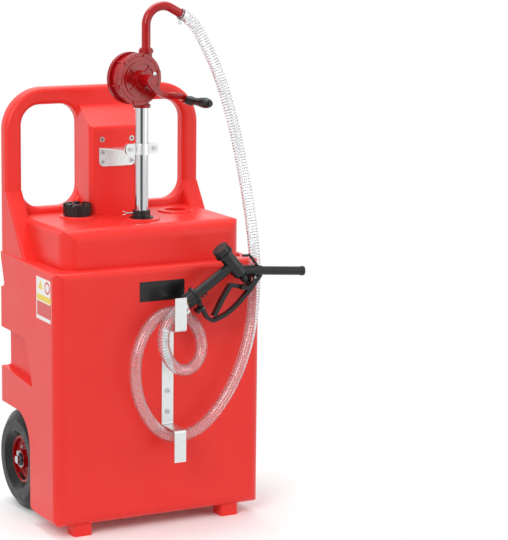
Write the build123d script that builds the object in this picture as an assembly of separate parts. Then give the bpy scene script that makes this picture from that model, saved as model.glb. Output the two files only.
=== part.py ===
from build123d import *
import math
import os

# A wheeled fuel tank with a hand-cranked rotary pump, a delivery hose and a trigger nozzle.
# Lengths are millimetres. While drafting, y = 0 is the tank's front face, x = 0 its middle and
# z = 0 the floor. At the end every piece moves to the part's own origin, which is the middle of
# the footprint of all that isn't hose.

# Driving dimensions of the tank
body_width = 572.0
rear_width = 546.0
body_depth = 381.0
body_bottom = 28.0
ledge_height = 671.0
deck_height = 768.0
handle_height = 1091.0
wall = 5.0
wheel_diameter = 260.0
axle_setback = 321.0
axle_radius = 10.0

# Clearances
running_gap = 0.05
seat_gap = 0.3
overrun = 5.0

# Tank body
front_corner_radius = 28.0
rear_corner_radius = 16.0
bottom_edge_radius = 25.0
ledge_edge_radius = 16.0
rear_bottom_lift = 13.0
well_front = 180.0
well_top = 277.0
well_radius = 88.0
well_lip_radius = 10.0
belt_step = 27.0
belt_edge_radius = 10.0
belt_rise = 12.0
belt_proud = 11.0
upper_belt_top = 574.0
upper_belt_bottom = 479.0
lower_belt_top = 366.0
back_slope_top = 662.0
back_slope_radius = 30.0
pocket_depth = 15.0
pocket_top_front = 207.0
pocket_bottom_front = 160.0
pocket_top = 474.0
pocket_bottom_lift = 8.0
back_panel_place = 201.0
back_panel_width = 42.0
back_panel_depth = 1.5
low_panel_middle = 342.0
low_panel_height = 38.0
high_panel_middle = 727.0
high_panel_height = 62.0

# Upper block and deck
block_inset = 44.0
block_side_inset = 40.0
block_shift = 5.0
block_corner_radius = 42.0
block_edge_radius = 34.0
block_root = 40.0
groove_width = 9.0
groove_depth = 4.0

# Handle frame, column and gussets
post_width = 45.0
post_depth = 43.0
post_edge_radius = 13.0
bar_height = 44.0
handle_corner_radius = 108.0
opening_floor = 783.0
opening_radius = 52.0
column_half_width = 70.0
column_flare = 8.0
column_front = 251.0
column_shoulder = 992.0
column_top = 1045.0
column_edge_radius = 16.0
gusset_top = 829.0
gusset_front = 224.0
gusset_edge_radius = 8.0

# Axle carrier below the lower belt
carrier_half_width = 178.0
leg_width = 53.0
leg_radius = 45.0
bridge_bottom = 206.0
rib_offset = 62.0
rib_width = 9.0
rib_depth = 6.0

# Feet
foot_length = 50.0
foot_depth = 48.0
foot_place = 206.0
foot_setback = 16.0
foot_edge_radius = 8.0

# Seats on the deck
seat_height = 4.0
seat_radius = 46.0
seat_edge_radius = 2.5
neck_place = (-117.0, 248.0)
pump_place = (16.0, 148.0)
spare_place = (155.0, 236.0)
spare_radius = 28.0
spare_depth = 18.0

# Filler neck and cap
neck_radius = 29.0
neck_bore = 24.0
neck_height = 16.0
neck_flange = 33.0
neck_flange_height = 3.0
gasket_height = 3.0
disc_height = 4.0
cap_radius = 36.0
cap_height = 32.0
cap_wall = 5.5
cap_window_radius = 21.0
cap_notches = 8
cap_notch_width = 9.0
cap_notch_depth = 5.0
cap_flutes = 24
cap_flute_radius = 2.2
flute_share = 0.35

# Drum adaptor and wing screw
adaptor_radius = 28.0
adaptor_flange = 30.0
adaptor_flange_height = 3.0
adaptor_collar = 22.5
adaptor_collar_height = 17.0
wing_turn = 160.0
wing_screw_radius = 3.0
wing_screw_length = 20.0
wing_tip_gap = 0.3
wing_length = 13.0
wing_wire = 1.3
wing_spread = 22.0

# Suction tubes and foot strainer
tube_radius = 17.0
tube_wall = 1.2
tube_bottom = 470.0
lower_tube_overlap = 60.0
lower_tube_bottom = 70.0
strainer_radius = 17.0
strainer_height = 34.0
strainer_wall = 2.0
strainer_slots = 10
strainer_slot_width = 3.0
strainer_slot_height = 20.0
strainer_floor_gap = 5.0

# Pump: x runs right, y up and z towards the crank, from the middle of the drum
pump_height = 1125.5
pump_turn = 10.0
inlet_offset = 23.5
outlet_offset = 36.6
drum_radius = 59.0
drum_depth = 38.0
drum_flange = 65.5
drum_flange_depth = 5.0
cover_depth = 5.0
chamber_radius = 48.0
chamber_rise = 6.0
gasket_depth = 0.8
foot_reach = 73.5
foot_radius = 18.5
foot_flange = 22.5
head_reach = 71.0
head_radius = 15.5
head_flange = 18.5
port_flange_height = 8.0
port_bore = 12.0
rotor_radius = 40.0
rotor_side_gap = 0.4
vane_slot_gap = 0.3
vane_thickness = 6.0
vane_depth = 24.0
vane_tip_gap = 0.5
shaft_radius = 8.0
rear_boss_radius = 20.0
rear_boss_depth = 8.0
ring_radius = 45.0
ring_width = 4.0
ring_height = 2.5
cover_rib_width = 5.0
cover_rib_height = 3.0
hub_radius = 24.0
hub_depth = 16.0
hub_tip_radius = 20.0
packing_radius = 12.5
packing_depth = 9.0
gland_radius = 16.0
gland_depth = 14.0
gland_neck = 5.0
cover_screws = 6
cover_screw_radius = 2.5
cover_screw_head = 4.5
cover_screw_head_height = 3.0
cover_screw_circle = 60.0

# Crank
crank_gap = 2.0
crank_hub_radius = 15.0
crank_hub_length = 22.0
crank_arm_depth = 10.0
crank_arm_width = 15.0
crank_reach = (116.4, -55.3)
crank_knee_shares = ((0.20, 0.46), (0.50, 0.74), (0.80, 0.79))
crank_boss_radius = 10.0
set_screw_radius = 3.5
set_screw_length = 15.0
set_screw_head = 5.0
set_screw_head_height = 5.0
grip_pin_radius = 4.0
grip_pin_head_radius = 6.5
grip_pin_head_height = 3.0
grip_length = 92.0
grip_radii_shares = ((0.0, 0.80), (0.08, 0.95), (0.30, 0.78), (0.66, 1.0), (0.90, 0.96), (1.0, 0.70))
grip_radius = 12.5

# Delivery spout of the pump
spout_wall = 2.0
spout_rise = 1257.0
spout_bend = 47.0
spout_fall = 29.0
spout_run = 28.5
spigot_length = 20.0
spout_foot_radius = 16.5
spout_foot_height = 4.0

# Hose and its clamps
hose_radius = 14.5
hose_bore = 11.5
hose_fit = 0.25
clamp_band_width = 12.0
clamp_band_wall = 1.0
clamp_setback = 6.0
clamp_box_length = 15.0
clamp_box_width = 11.0
clamp_box_height = 8.0
clamp_screw_radius = 3.2
clamp_screw_length = 22.0

# Bracket between the column and the suction tube
plate_left = -55.0
plate_right = 46.0
plate_top = 941.0
plate_bottom = 893.0
plate_corner_radius = 14.0
sheet = 3.0
shelf_front_half = 20.0
band_height = 27.0
band_bottom = 934.0
ear_reach = 28.0
ear_corner_radius = 9.0
ear_gap = 4.0
clamp_bolt_radius = 3.0
clamp_bolt_head = 5.5
clamp_bolt_head_height = 4.0
clamp_bolt_place = 33.0
bracket_screw_radius = 3.0
bracket_screw_head = 5.5
bracket_screw_head_height = 3.0
bracket_screw_length = 4.0
bracket_screws_left = -46.0
bracket_screws_right = 37.0
bracket_screws_top = 929.0
bracket_screws_bottom = 905.0
insert_height = 962.0
insert_radius = 5.5
insert_bore = 3.0
insert_length = 4.5
insert_lip = 1.0
insert_lip_radius = 7.0

# Hose bracket on the front face
strip_place = 17.0
strip_width = 32.0
hook_channel = 70.0
upper_web = 520.0
lower_web = 265.0
upper_lip_top = 603.0
lower_lip_bottom = 186.0
strip_bend_radius = 6.0
strip_screw_heights = (300.0, 354.0, 480.0)
strip_screw_radius = 3.0
strip_screw_head = 6.5
strip_screw_head_height = 3.0

# Nozzle: x runs right, y up and z forwards, from the middle of the union nut
nut_place = (55.0, -52.0, 593.5)
nozzle_turn = 3.0
grip_slope = 34.6
nut_radius = 20.0
nut_length = 24.5
nut_bore = 15.4
nut_offset = -13.0
nut_ribs = 16
nut_rib_radius = 1.6
collar_radius = 23.0
collar_length = 6.5
handle_radius = 13.0
handle_bore = 9.5
handle_length = 139.8
barrel_slope = -49.6
barrel_start = (78.0, 123.0)
barrel_length = 110.0
barrel_radius = 18.0
barrel_top = 24.0
barrel_taper_start = 88.0
barrel_taper_end = 100.0
barrel_tip_radius = 10.0
chamber_bore = 14.0
chamber_end = 70.0
valve_seat_bore = 8.0
valve_seat_length = 4.0
lower_chamber_end = 94.0
stem_radius = 3.0
poppet_radius = 11.0
poppet_thickness = 5.0
poppet_gap = 0.4
stem_reach = 11.6
spring_radius = 8.5
spring_wire = 1.1
spring_turns = 6
valve_cap_radius = 22.0
valve_cap_ring = 23.5
valve_cap_ring_height = 5.0
valve_cap_wall = 3.5
valve_cap_ribs = 18
valve_cap_rib_radius = 1.5
seal_thickness = 2.0
outlet_root = (113.0, 64.8)
outlet_tip = (312.0, 50.0)
outlet_boss_radius = 13.0
outlet_boss_length = 80.0
outlet_radius = 11.0
outlet_bore = 9.0
outlet_lip = 12.0
outlet_lip_length = 8.0
outlet_socket = 25.0
guard_width = 9.0
guard_half_depth = 7.0
guard_route = ((196.0, 56.0), (161.0, 12.0), (126.0, -24.0), (98.0, -45.0), (60.0, -60.0), (45.0, -50.0), (20.0, -6.0))
guard_radii = (60.0, 120.0, 90.0, 10.0, 10.0)
hook_route = ((186.0, 68.0), (161.0, 100.0), (142.0, 100.0))
hook_width = 5.0
hook_half_depth = 4.0
hook_radius = 6.0
hold_teeth = 2
hold_tooth = 5.0
hold_place = 30.0
trigger_pivot = (169.0, 46.0)
trigger_width = 10.0
trigger_half_depth = 8.0
cheek_gap = 0.6
cheek_thickness = 4.0
trigger_head_route = ((169.0, 46.0), (167.0, 30.0), (150.0, 19.5), (132.0, 22.0))
trigger_head_radii = (9.0, 12.0)
trigger_tail_route = ((140.0, 21.0), (124.0, 24.5), (108.0, 29.0), (84.0, -9.0), (63.0, -48.0))
trigger_tail_radii = (20.0, 9.0, 120.0)
trigger_pin_radius = 3.0
latch_pivot = (31.0, -22.0)
latch_length = 20.0
latch_width = 7.0
latch_half_depth = 3.0
latch_slope = 215.0
latch_pin_radius = 1.6
hose_tail_bore = 8.0
hose_tail_length = 20.0
hose_tail_barbs = 3
hose_tail_barb_depth = 1.2

# Wheels
tyre_inner_face = 195.0
tyre_width = 64.0
tyre_shoulder_share = 0.81
tyre_side_share = 0.60
tyre_crown_share = 0.45
tyre_wall = 6.0
tyre_bead_radius = 58.5
tyre_bead_rise = 3.5
tread_grooves = 4
tread_groove_width = 2.5
tread_groove_depth = 3.0
tube_gap = 0.4
rim_flange_radius = 61.0
rim_wall = 3.0
rim_half_width = 14.0
rim_disc_radius = 44.0
hub_tube_radius = 24.0
hub_tube_length = 42.0
bearing_radius = 21.0
bearing_width = 14.0
bearing_seal_radius = 16.0
bearing_seal_depth = 1.0
washer_radius = 17.0
washer_thickness = 2.0
pin_radius = 1.6
pin_drop = 24.0
pin_eye_radius = 5.0
axle_overhang = 9.0
rim_screws = 4
rim_screw_circle = 36.0
rim_screw_radius = 3.0
rim_screw_head = 5.0
rim_screw_head_height = 3.5
valve_radius = 3.0
valve_length = 22.0
valve_tilt = 35.0
valve_circle = 50.0

# The hose's route, from the shoulder of the pump's spout to the nozzle's nut. The first and
# last places are worked out; these between them are read off along its free run.
hose_route = (
    (175.5, 137.0, 1229.0),
    (188.5, 118.0, 1190.0),
    (201.0, 97.0, 1146.0),
    (212.0, 83.0, 1100.0),
    (224.5, 74.0, 1050.0),
    (237.0, 66.0, 996.0),
    (244.5, 55.0, 942.0),
    (250.0, 40.0, 885.0),
    (252.5, 22.0, 826.0),
    (253.5, 4.0, 767.0),
    (253.0, -12.0, 710.0),
    (253.0, -20.0, 655.0),
    (250.0, -25.0, 600.0),
    (243.0, -31.0, 545.0),
    (231.0, -38.0, 489.0),
    (214.0, -41.0, 436.0),
    (193.0, -42.0, 385.0),
    (166.0, -42.0, 338.0),
    (133.0, -41.0, 295.0),
    (97.0, -41.0, 262.0),
    (57.0, -40.0, 245.0),
    (16.0, -40.0, 241.5),
    (-24.0, -41.0, 259.5),
    (-58.0, -42.0, 299.0),
    (-83.0, -42.0, 350.0),
    (-92.0, -42.0, 406.0),
    (-87.0, -39.0, 463.0),
    (-63.0, -33.0, 514.0),
    (-25.0, -24.0, 550.0),
    (20.0, -18.5, 561.0),
    (62.0, -20.0, 545.0),
    (92.0, -26.0, 509.0),
    (99.0, -34.0, 465.0),
    (84.0, -43.0, 430.0),
    (52.0, -49.0, 411.0),
    (18.0, -53.0, 418.0),
    (-10.0, -56.0, 448.0),
    (-24.0, -57.0, 491.0),
    (-15.0, -55.0, 534.0),
)
hose_end_run = 38.0
bend_share = 0.45

BASE = (Align.CENTER, Align.CENTER, Align.MIN)
wheel_radius = wheel_diameter / 2
spout_radius = hose_bore - hose_fit
hose_tail_radius = hose_bore - hose_fit
seat_top = deck_height + seat_height


def block(x, y, z):
    """A box between pairs of limits."""
    spans = (x, y, z)
    centre = [(low + high) / 2 for low, high in spans]
    return Pos(*centre) * Box(*[high - low for low, high in spans])


def rod(radius, start, end):
    """A round bar from one point to another."""
    axis = Vector(*end) - Vector(*start)
    return Plane(origin=start, z_dir=axis).location * Cylinder(radius, axis.length, align=BASE)


def pipe(outer, inner, start, end):
    """A round tube from one point to another, its bore cut right through."""
    axis = (Vector(*end) - Vector(*start)).normalized() * overrun
    return rod(outer, start, end) - rod(inner, Vector(*start) - axis, Vector(*end) + axis)


def upright(radius, place, low, high):
    """A round bar standing on a place of the deck plan."""
    return rod(radius, (*place, low), (*place, high))


def outline(corners):
    """A closed face from corners given as (x, y, fillet radius)."""
    points = [(x, y) for x, y, radius in corners]
    radii = [radius for x, y, radius in corners]
    return make_face(FilletPolyline(*points, radius=radii, close=True))


def inset(face, amount):
    """The face drawn in all round, or the face itself."""
    return offset(face, amount=-amount) if amount else face


def along_x(face, low, high):
    """Extrude a face drawn as (y, z) between two x limits."""
    return extrude(Plane((low, 0, 0), x_dir=(0, 1, 0), z_dir=(1, 0, 0)).location * face, high - low)


def along_y(face, low, high):
    """Extrude a face drawn as (x, z) between two y limits."""
    return extrude(Plane((0, high, 0), x_dir=(1, 0, 0), z_dir=(0, -1, 0)).location * face, high - low)


def along_z(face, low, high):
    """Extrude a face drawn as (x, y) between two z limits."""
    return extrude(Pos(0, 0, low) * face, high - low)


def both_sides(shape):
    """A shape and its mirror image in the middle plane of the tank."""
    return shape + mirror(shape, about=Plane.YZ)


def one_solid(shape):
    """The single solid of a finished piece, or a compound of several."""
    solids = shape.solids()
    return solids[0] if len(solids) == 1 else Compound(solids)


# Tank

def side_outline():
    """The tank body seen from the side: belts and slope at the back, wheel well below."""
    recess = body_depth - belt_step
    belt = body_depth + belt_proud
    return outline([
        (0, body_bottom, bottom_edge_radius),
        (0, ledge_height, ledge_edge_radius),
        (body_depth, ledge_height, 0),
        (body_depth, back_slope_top, back_slope_radius),
        (recess, upper_belt_top + belt_rise, belt_edge_radius),
        (belt, upper_belt_top, belt_edge_radius),
        (belt, upper_belt_bottom, belt_edge_radius),
        (recess, upper_belt_bottom - belt_rise, belt_edge_radius),
        (recess, lower_belt_top + belt_rise, belt_edge_radius),
        (belt, lower_belt_top, belt_edge_radius),
        (belt, well_top, belt_edge_radius),
        (well_front, well_top, well_radius),
        (well_front, body_bottom + rear_bottom_lift, well_lip_radius),
    ])


def body_plan():
    """The tank body seen from above, a little narrower at the back."""
    front = body_width / 2
    rear = rear_width / 2
    belt = body_depth + belt_proud
    return outline([
        (-front, 0, front_corner_radius),
        (front, 0, front_corner_radius),
        (rear, belt, rear_corner_radius),
        (-rear, belt, rear_corner_radius),
    ])


def body_front():
    """The tank body seen from the front, with rounded ledge and bottom edges."""
    half = body_width / 2
    return outline([
        (-half, body_bottom, bottom_edge_radius),
        (half, body_bottom, bottom_edge_radius),
        (half, ledge_height, ledge_edge_radius),
        (-half, ledge_height, ledge_edge_radius),
    ])


def side_pocket(skin):
    """The recess that runs round each rear corner between the two belts."""
    recess = body_depth + belt_proud + overrun
    face = outline([
        (pocket_top_front, pocket_top, 0),
        (pocket_bottom_front, lower_belt_top - pocket_bottom_lift, 0),
        (recess, lower_belt_top + pocket_bottom_lift, 0),
        (recess, pocket_top, 0),
    ])
    face = offset(face, amount=skin) if skin else face
    inner = rear_width / 2 - pocket_depth - skin
    return both_sides(along_x(face, inner, body_width / 2 + overrun))


def body_form(skin):
    """The lower body, drawn in by the thickness of its skin."""
    width = body_width / 2 + overrun
    shape = along_x(inset(side_outline(), skin), -width, width)
    shape &= along_z(inset(body_plan(), skin), 0, handle_height)
    shape &= along_y(inset(body_front(), skin), -overrun, body_depth + belt_proud + overrun)
    return shape - side_pocket(skin)


def back_panel(face, middle, height):
    """A pair of shallow moulded squares in the back."""
    return both_sides(block((back_panel_place - back_panel_width / 2, back_panel_place + back_panel_width / 2),
                            (face - back_panel_depth, face + overrun),
                            (middle - height / 2, middle + height / 2)))


def block_plan():
    """The raised block seen from above."""
    half = body_width / 2 - block_side_inset
    rear = body_depth - post_depth / 2
    return Pos(block_shift, 0) * outline([
        (-half, block_inset, block_corner_radius),
        (half, block_inset, block_corner_radius),
        (half, rear, 0),
        (-half, rear, 0),
    ])


def block_form(skin):
    """The raised block under the deck, standing back from the ledge."""
    half = body_width / 2 - block_side_inset
    root = ledge_height - block_root
    rear = body_depth - post_depth / 2
    side = outline([
        (block_inset, root, 0),
        (block_inset, deck_height, block_edge_radius),
        (rear, deck_height, 0),
        (rear, root, 0),
    ])
    front = Pos(block_shift, 0) * outline([
        (-half, root, 0),
        (half, root, 0),
        (half, deck_height, ledge_edge_radius),
        (-half, deck_height, ledge_edge_radius),
    ])
    shape = along_z(inset(block_plan(), skin), root, deck_height)
    shape &= along_x(inset(side, skin), -body_width, body_width)
    return shape & along_y(inset(front, skin), 0, body_depth)


def handle_opening():
    """One of the two hand openings, drawn as (x, z) on the right side."""
    outer = rear_width / 2 - post_width
    return outline([
        (column_half_width, opening_floor, opening_radius),
        (outer, opening_floor, opening_radius),
        (outer, handle_height - bar_height, opening_radius),
        (column_half_width, handle_height - bar_height, opening_radius),
    ])


def handle_form(skin):
    """The flat handle frame across the back, with its two openings."""
    half = rear_width / 2
    root = ledge_height - block_root
    frame = outline([
        (-half, root, 0),
        (half, root, 0),
        (half, handle_height, handle_corner_radius),
        (-half, handle_height, handle_corner_radius),
    ])
    opening = offset(handle_opening(), amount=skin) if skin else handle_opening()
    face = inset(frame, skin) - opening - mirror(opening, about=Plane.YZ)
    plate = along_y(face, body_depth - post_depth + skin, body_depth - skin)
    if skin:
        return plate
    return fillet(plate.edges().filter_by(Axis.Y, reverse=True), post_edge_radius)


def gusset_form(skin):
    """The webs that run down from the posts to the ledge beside the block."""
    face = outline([
        (body_depth - post_depth, gusset_top, 0),
        (gusset_front, ledge_height - gusset_edge_radius, 0),
        (gusset_front, ledge_height - block_root, 0),
        (body_depth - post_edge_radius, ledge_height - block_root, 0),
        (body_depth - post_edge_radius, gusset_top, 0),
    ])
    web = along_x(inset(face, skin), rear_width / 2 - post_width + skin, rear_width / 2 - skin)
    if not skin:
        web = fillet(web.edges().sort_by(Axis.Y)[:6].filter_by(Axis.X, reverse=True), gusset_edge_radius)
    return both_sides(web)


def column_form(skin):
    """The middle column between the openings, standing forward of the handle frame."""
    front = column_half_width + column_flare
    rear = body_depth - post_depth / 2
    plan = outline([
        (-front, column_front, column_edge_radius),
        (front, column_front, column_edge_radius),
        (column_half_width, rear + overrun, 0),
        (-column_half_width, rear + overrun, 0),
    ])
    side = outline([
        (column_front, deck_height - block_edge_radius, 0),
        (column_front, column_shoulder, column_edge_radius),
        (body_depth - post_depth, column_top, 0),
        (rear, column_top, 0),
        (rear, deck_height - block_edge_radius, 0),
    ])
    thin = skin + running_gap if skin else 0
    shape = along_z(inset(plan, thin), ledge_height, handle_height)
    return shape & along_x(inset(side, skin), -front - overrun, front + overrun)


def carrier_form():
    """The bridge and the two rounded legs that hold the axle."""
    top = well_top + belt_edge_radius
    rear = axle_setback + leg_radius
    leg = outline([
        (axle_setback - leg_radius, wheel_radius - leg_radius, leg_radius - overrun),
        (rear, wheel_radius - leg_radius, leg_radius - overrun),
        (rear, top, 0),
        (axle_setback - leg_radius, top, 0),
    ])
    legs = both_sides(along_x(leg, carrier_half_width - leg_width, carrier_half_width))
    bridge = block((-carrier_half_width, carrier_half_width), (well_front - wall, rear), (bridge_bottom, top))
    bore = rod(axle_radius + running_gap, (-body_width, axle_setback, wheel_radius),
               (body_width, axle_setback, wheel_radius))
    return legs + bridge - bore


def back_ribs():
    """Two shallow stiffening ribs on the wall between the legs."""
    rib = block((rib_offset - rib_width / 2, rib_offset + rib_width / 2),
                (well_front - wall, well_front + rib_depth),
                (body_bottom + bottom_edge_radius, bridge_bottom + wall))
    return both_sides(rib)


def feet_form():
    """Two moulded pads under the front edge."""
    pad = block((foot_place - foot_length / 2, foot_place + foot_length / 2),
                (foot_setback, foot_setback + foot_depth),
                (0, body_bottom + bottom_edge_radius))
    pad = fillet(pad.edges().filter_by(Axis.Z), foot_edge_radius)
    return both_sides(pad)


def ledge_groove():
    """The shallow groove in the ledge round the foot of the block."""
    ring = along_z(offset(block_plan(), amount=groove_width), ledge_height - groove_depth, deck_height)
    return ring & block((-body_width, body_width), (0, gusset_front), (0, deck_height))


def deck_seats():
    """The three raised rings on the deck."""
    seats = []
    for place in (neck_place, pump_place, spare_place):
        seat = upright(seat_radius, place, deck_height - wall, seat_top)
        seats.append(fillet(seat.edges().sort_by(Axis.Z)[-1], seat_edge_radius))
    return seats


def make_tank():
    """The rotomoulded tank: outer form less the same form drawn in by the wall."""
    outer = body_form(0) - ledge_groove() + block_form(0) + handle_form(0)
    outer += gusset_form(0)
    outer += column_form(0)
    outer += carrier_form()
    outer += back_ribs()
    outer += feet_form()
    for seat in deck_seats():
        outer += seat
    hollow = body_form(wall) + block_form(wall) + handle_form(wall)
    hollow += gusset_form(wall)
    hollow += column_form(wall)
    spare_cup = upright(spare_radius + wall, spare_place, seat_top - spare_depth - wall, seat_top)
    tank = outer - (hollow - spare_cup)
    tank -= upright(spare_radius, spare_place, seat_top - spare_depth, seat_top + overrun)
    tank -= upright(neck_radius, neck_place, deck_height - block_edge_radius, seat_top + overrun)
    tank -= upright(adaptor_radius, pump_place, deck_height - block_edge_radius, seat_top + overrun)
    for x in (bracket_screws_left, bracket_screws_right):
        start = (x, column_front - overrun, insert_height)
        tank -= rod(insert_radius, start, Vector(*start) + Vector(0, overrun + insert_length, 0))
    tank -= back_panel(body_depth + belt_proud, low_panel_middle, low_panel_height)
    tank -= back_panel(body_depth, high_panel_middle, high_panel_height)
    return tank


def tank_lengths():
    """The one moulding as three nodes that meet face to face, at the ledge and above the deck."""
    tank = make_tank()
    crown = seat_top + seat_height
    spans = {
        "tank_shell": (0, ledge_height),
        "tank_top": (ledge_height, crown),
        "handle_frame": (crown, handle_height),
    }
    wide = (-body_width, body_width)
    deep = (-body_depth, 2 * body_depth)
    return {name: tank & block(wide, deep, span) for name, span in spans.items()}


# Filler neck and cap

def make_filler_neck():
    """The threaded neck set in the deck."""
    top = seat_top + neck_height
    neck = upright(neck_radius - running_gap, neck_place, deck_height - wall, top)
    neck += upright(neck_flange, neck_place, seat_top, seat_top + neck_flange_height)
    return neck - upright(neck_bore, neck_place, deck_height - 2 * wall, top + overrun)


def make_cap_gasket():
    base = seat_top + neck_height + seat_gap
    return pipe(neck_radius - wall / 2, neck_bore, (*neck_place, base), (*neck_place, base + gasket_height))


def make_cap_disc():
    base = seat_top + neck_height + seat_gap + gasket_height
    disc = upright(neck_radius - wall / 2, neck_place, base, base + disc_height)
    return disc + upright(cap_window_radius - wall, neck_place, base, base + 2 * disc_height)


def make_cap_ring():
    """The castellated ring that screws over the neck and holds the disc down."""
    low = seat_top + neck_flange_height + seat_gap
    high = seat_top + cap_height
    lip = seat_top + neck_height + 2 * seat_gap + gasket_height + disc_height
    ring = upright(cap_radius, neck_place, low, high)
    ring = fillet(ring.edges().sort_by(Axis.Z)[-1], seat_edge_radius)
    ring -= upright(cap_radius - cap_wall, neck_place, low - overrun, lip)
    ring -= upright(cap_window_radius, neck_place, low, high + overrun)
    for turn in range(cap_notches):
        cut = block((cap_window_radius - overrun, cap_radius + overrun),
                    (-cap_notch_width / 2, cap_notch_width / 2),
                    (high - cap_notch_depth, high + overrun))
        ring -= Pos(*neck_place) * Rot(0, 0, turn * 360 / cap_notches) * cut
    for turn in range(cap_flutes):
        flute = Pos(cap_radius + flute_share * cap_flute_radius, 0, low - overrun) * Cylinder(
            cap_flute_radius, cap_height - cap_notch_depth, align=BASE)
        ring -= Pos(*neck_place) * Rot(0, 0, (turn + 1 / 2) * 360 / cap_flutes) * flute
    return ring


# Drum adaptor

def wing_axis():
    turn = math.radians(wing_turn)
    return Vector(math.cos(turn), math.sin(turn), 0)


def wing_height():
    return seat_top + adaptor_flange_height + adaptor_collar_height / 2


def make_adaptor():
    """The threaded adaptor that carries the suction tube in the deck."""
    top = seat_top + adaptor_flange_height + adaptor_collar_height
    shape = upright(adaptor_radius - running_gap, pump_place, deck_height - wall, seat_top)
    shape += upright(adaptor_flange, pump_place, seat_top, seat_top + adaptor_flange_height)
    shape += upright(adaptor_collar, pump_place, seat_top, top)
    shape -= upright(tube_radius + running_gap, pump_place, deck_height - 2 * wall, top + overrun)
    middle = Vector(*pump_place, wing_height())
    return shape - rod(wing_screw_radius + running_gap, middle, middle + wing_axis() * adaptor_flange)


def make_wing_screw():
    """The pinch screw with its two wire wings."""
    middle = Vector(*pump_place, wing_height())
    axis = wing_axis()
    tip = middle + axis * (tube_radius + wing_tip_gap)
    root = tip + axis * wing_screw_length
    screw = rod(wing_screw_radius, tip, root)
    across = Vector(0, 0, 1)
    for side in (-1, 1):
        spread = math.radians(side * wing_spread)
        wing = root - axis * (2 * wing_wire) + axis * (wing_length * math.cos(spread)) \
            + across * (wing_length * math.sin(spread))
        screw += rod(wing_wire, root - axis * (2 * wing_wire), wing)
        screw += Pos(*wing) * Sphere(wing_wire)
    return screw


# Suction tubes

def make_suction_tube():
    foot = pump_height - foot_reach
    return pipe(tube_radius, tube_radius - tube_wall, (*pump_place, tube_bottom), (*pump_place, foot))


def make_lower_tube():
    radius = tube_radius - tube_wall - running_gap
    return pipe(radius, radius - tube_wall, (*pump_place, lower_tube_bottom),
                (*pump_place, tube_bottom + lower_tube_overlap))


def make_strainer():
    """The slotted foot strainer pushed over the end of the lower tube."""
    bottom = body_bottom + rear_bottom_lift + wall + strainer_floor_gap
    top = bottom + strainer_height
    tube = tube_radius - tube_wall - running_gap
    shape = upright(strainer_radius + strainer_wall, pump_place, bottom, top)
    shape -= upright(strainer_radius, pump_place, bottom + strainer_wall, lower_tube_bottom)
    shape -= upright(tube, pump_place, bottom + strainer_wall, top + overrun)
    for turn in range(strainer_slots):
        slot = block((tube_wall, strainer_radius + 2 * strainer_wall),
                     (-strainer_slot_width / 2, strainer_slot_width / 2),
                     (bottom + 2 * strainer_wall, bottom + strainer_slot_height))
        shape -= Pos(*pump_place) * Rot(0, 0, turn * 360 / strainer_slots) * slot
    return shape


# Pump, drawn in its own frame

def pump_frame():
    """The drum's middle, with z along the shaft towards the crank."""
    turn = math.radians(pump_turn)
    across = Vector(math.cos(turn), math.sin(turn), 0)
    origin = Vector(*pump_place, pump_height) - across * inlet_offset
    return Plane(origin=origin, x_dir=across, z_dir=(math.sin(turn), -math.cos(turn), 0)).location


def disc(radius, low, high, place=(0, 0)):
    """A round bar along the shaft direction."""
    return rod(radius, (*place, low), (*place, high))


def around(count, radius, first=0):
    """Places evenly spaced on a circle."""
    turns = [math.radians(first + step * 360 / count) for step in range(count)]
    return [(radius * math.cos(turn), radius * math.sin(turn)) for turn in turns]


half_drum = drum_depth / 2
cover_face = half_drum + gasket_depth + cover_depth
hub_face = cover_face + hub_depth
gland_face = hub_face + gland_depth
crank_face = gland_face + crank_gap
grip_face = crank_face + crank_arm_depth + crank_gap


def screw_holes(shape):
    """Cut the cover screw holes right through a shape."""
    for place in around(cover_screws, cover_screw_circle, 90 / cover_screws):
        shape -= disc(cover_screw_radius + running_gap, -drum_flange, drum_flange, place)
    return shape


def make_pump_housing():
    """The cast drum with its eccentric chamber, foot and head ports."""
    shape = disc(drum_radius, -half_drum, half_drum)
    for low in (-half_drum, half_drum - drum_flange_depth):
        shape += disc(drum_flange, low, low + drum_flange_depth)
    shape += rod(foot_radius, (inlet_offset, 0, 0), (inlet_offset, -foot_reach, 0))
    shape += rod(head_radius, (outlet_offset, 0, 0), (outlet_offset, head_reach, 0))
    foot = -foot_reach
    shape += rod(foot_flange, (inlet_offset, foot, 0), (inlet_offset, foot + port_flange_height, 0))
    head = head_reach
    shape += rod(head_flange, (outlet_offset, head - port_flange_height, 0), (outlet_offset, head, 0))
    shape -= disc(chamber_radius, -drum_depth, drum_depth, (0, chamber_rise))
    shape -= rod(port_bore, (inlet_offset, 0, 0), (inlet_offset, foot - overrun, 0))
    shape -= rod(port_bore, (outlet_offset, 0, 0), (outlet_offset, head + overrun, 0))
    return screw_holes(shape)


def make_gasket(side):
    low = half_drum if side > 0 else -half_drum - gasket_depth
    gasket = disc(drum_flange, low, low + gasket_depth)
    gasket -= disc(chamber_radius, -drum_depth, drum_depth, (0, chamber_rise))
    return screw_holes(gasket)


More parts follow.
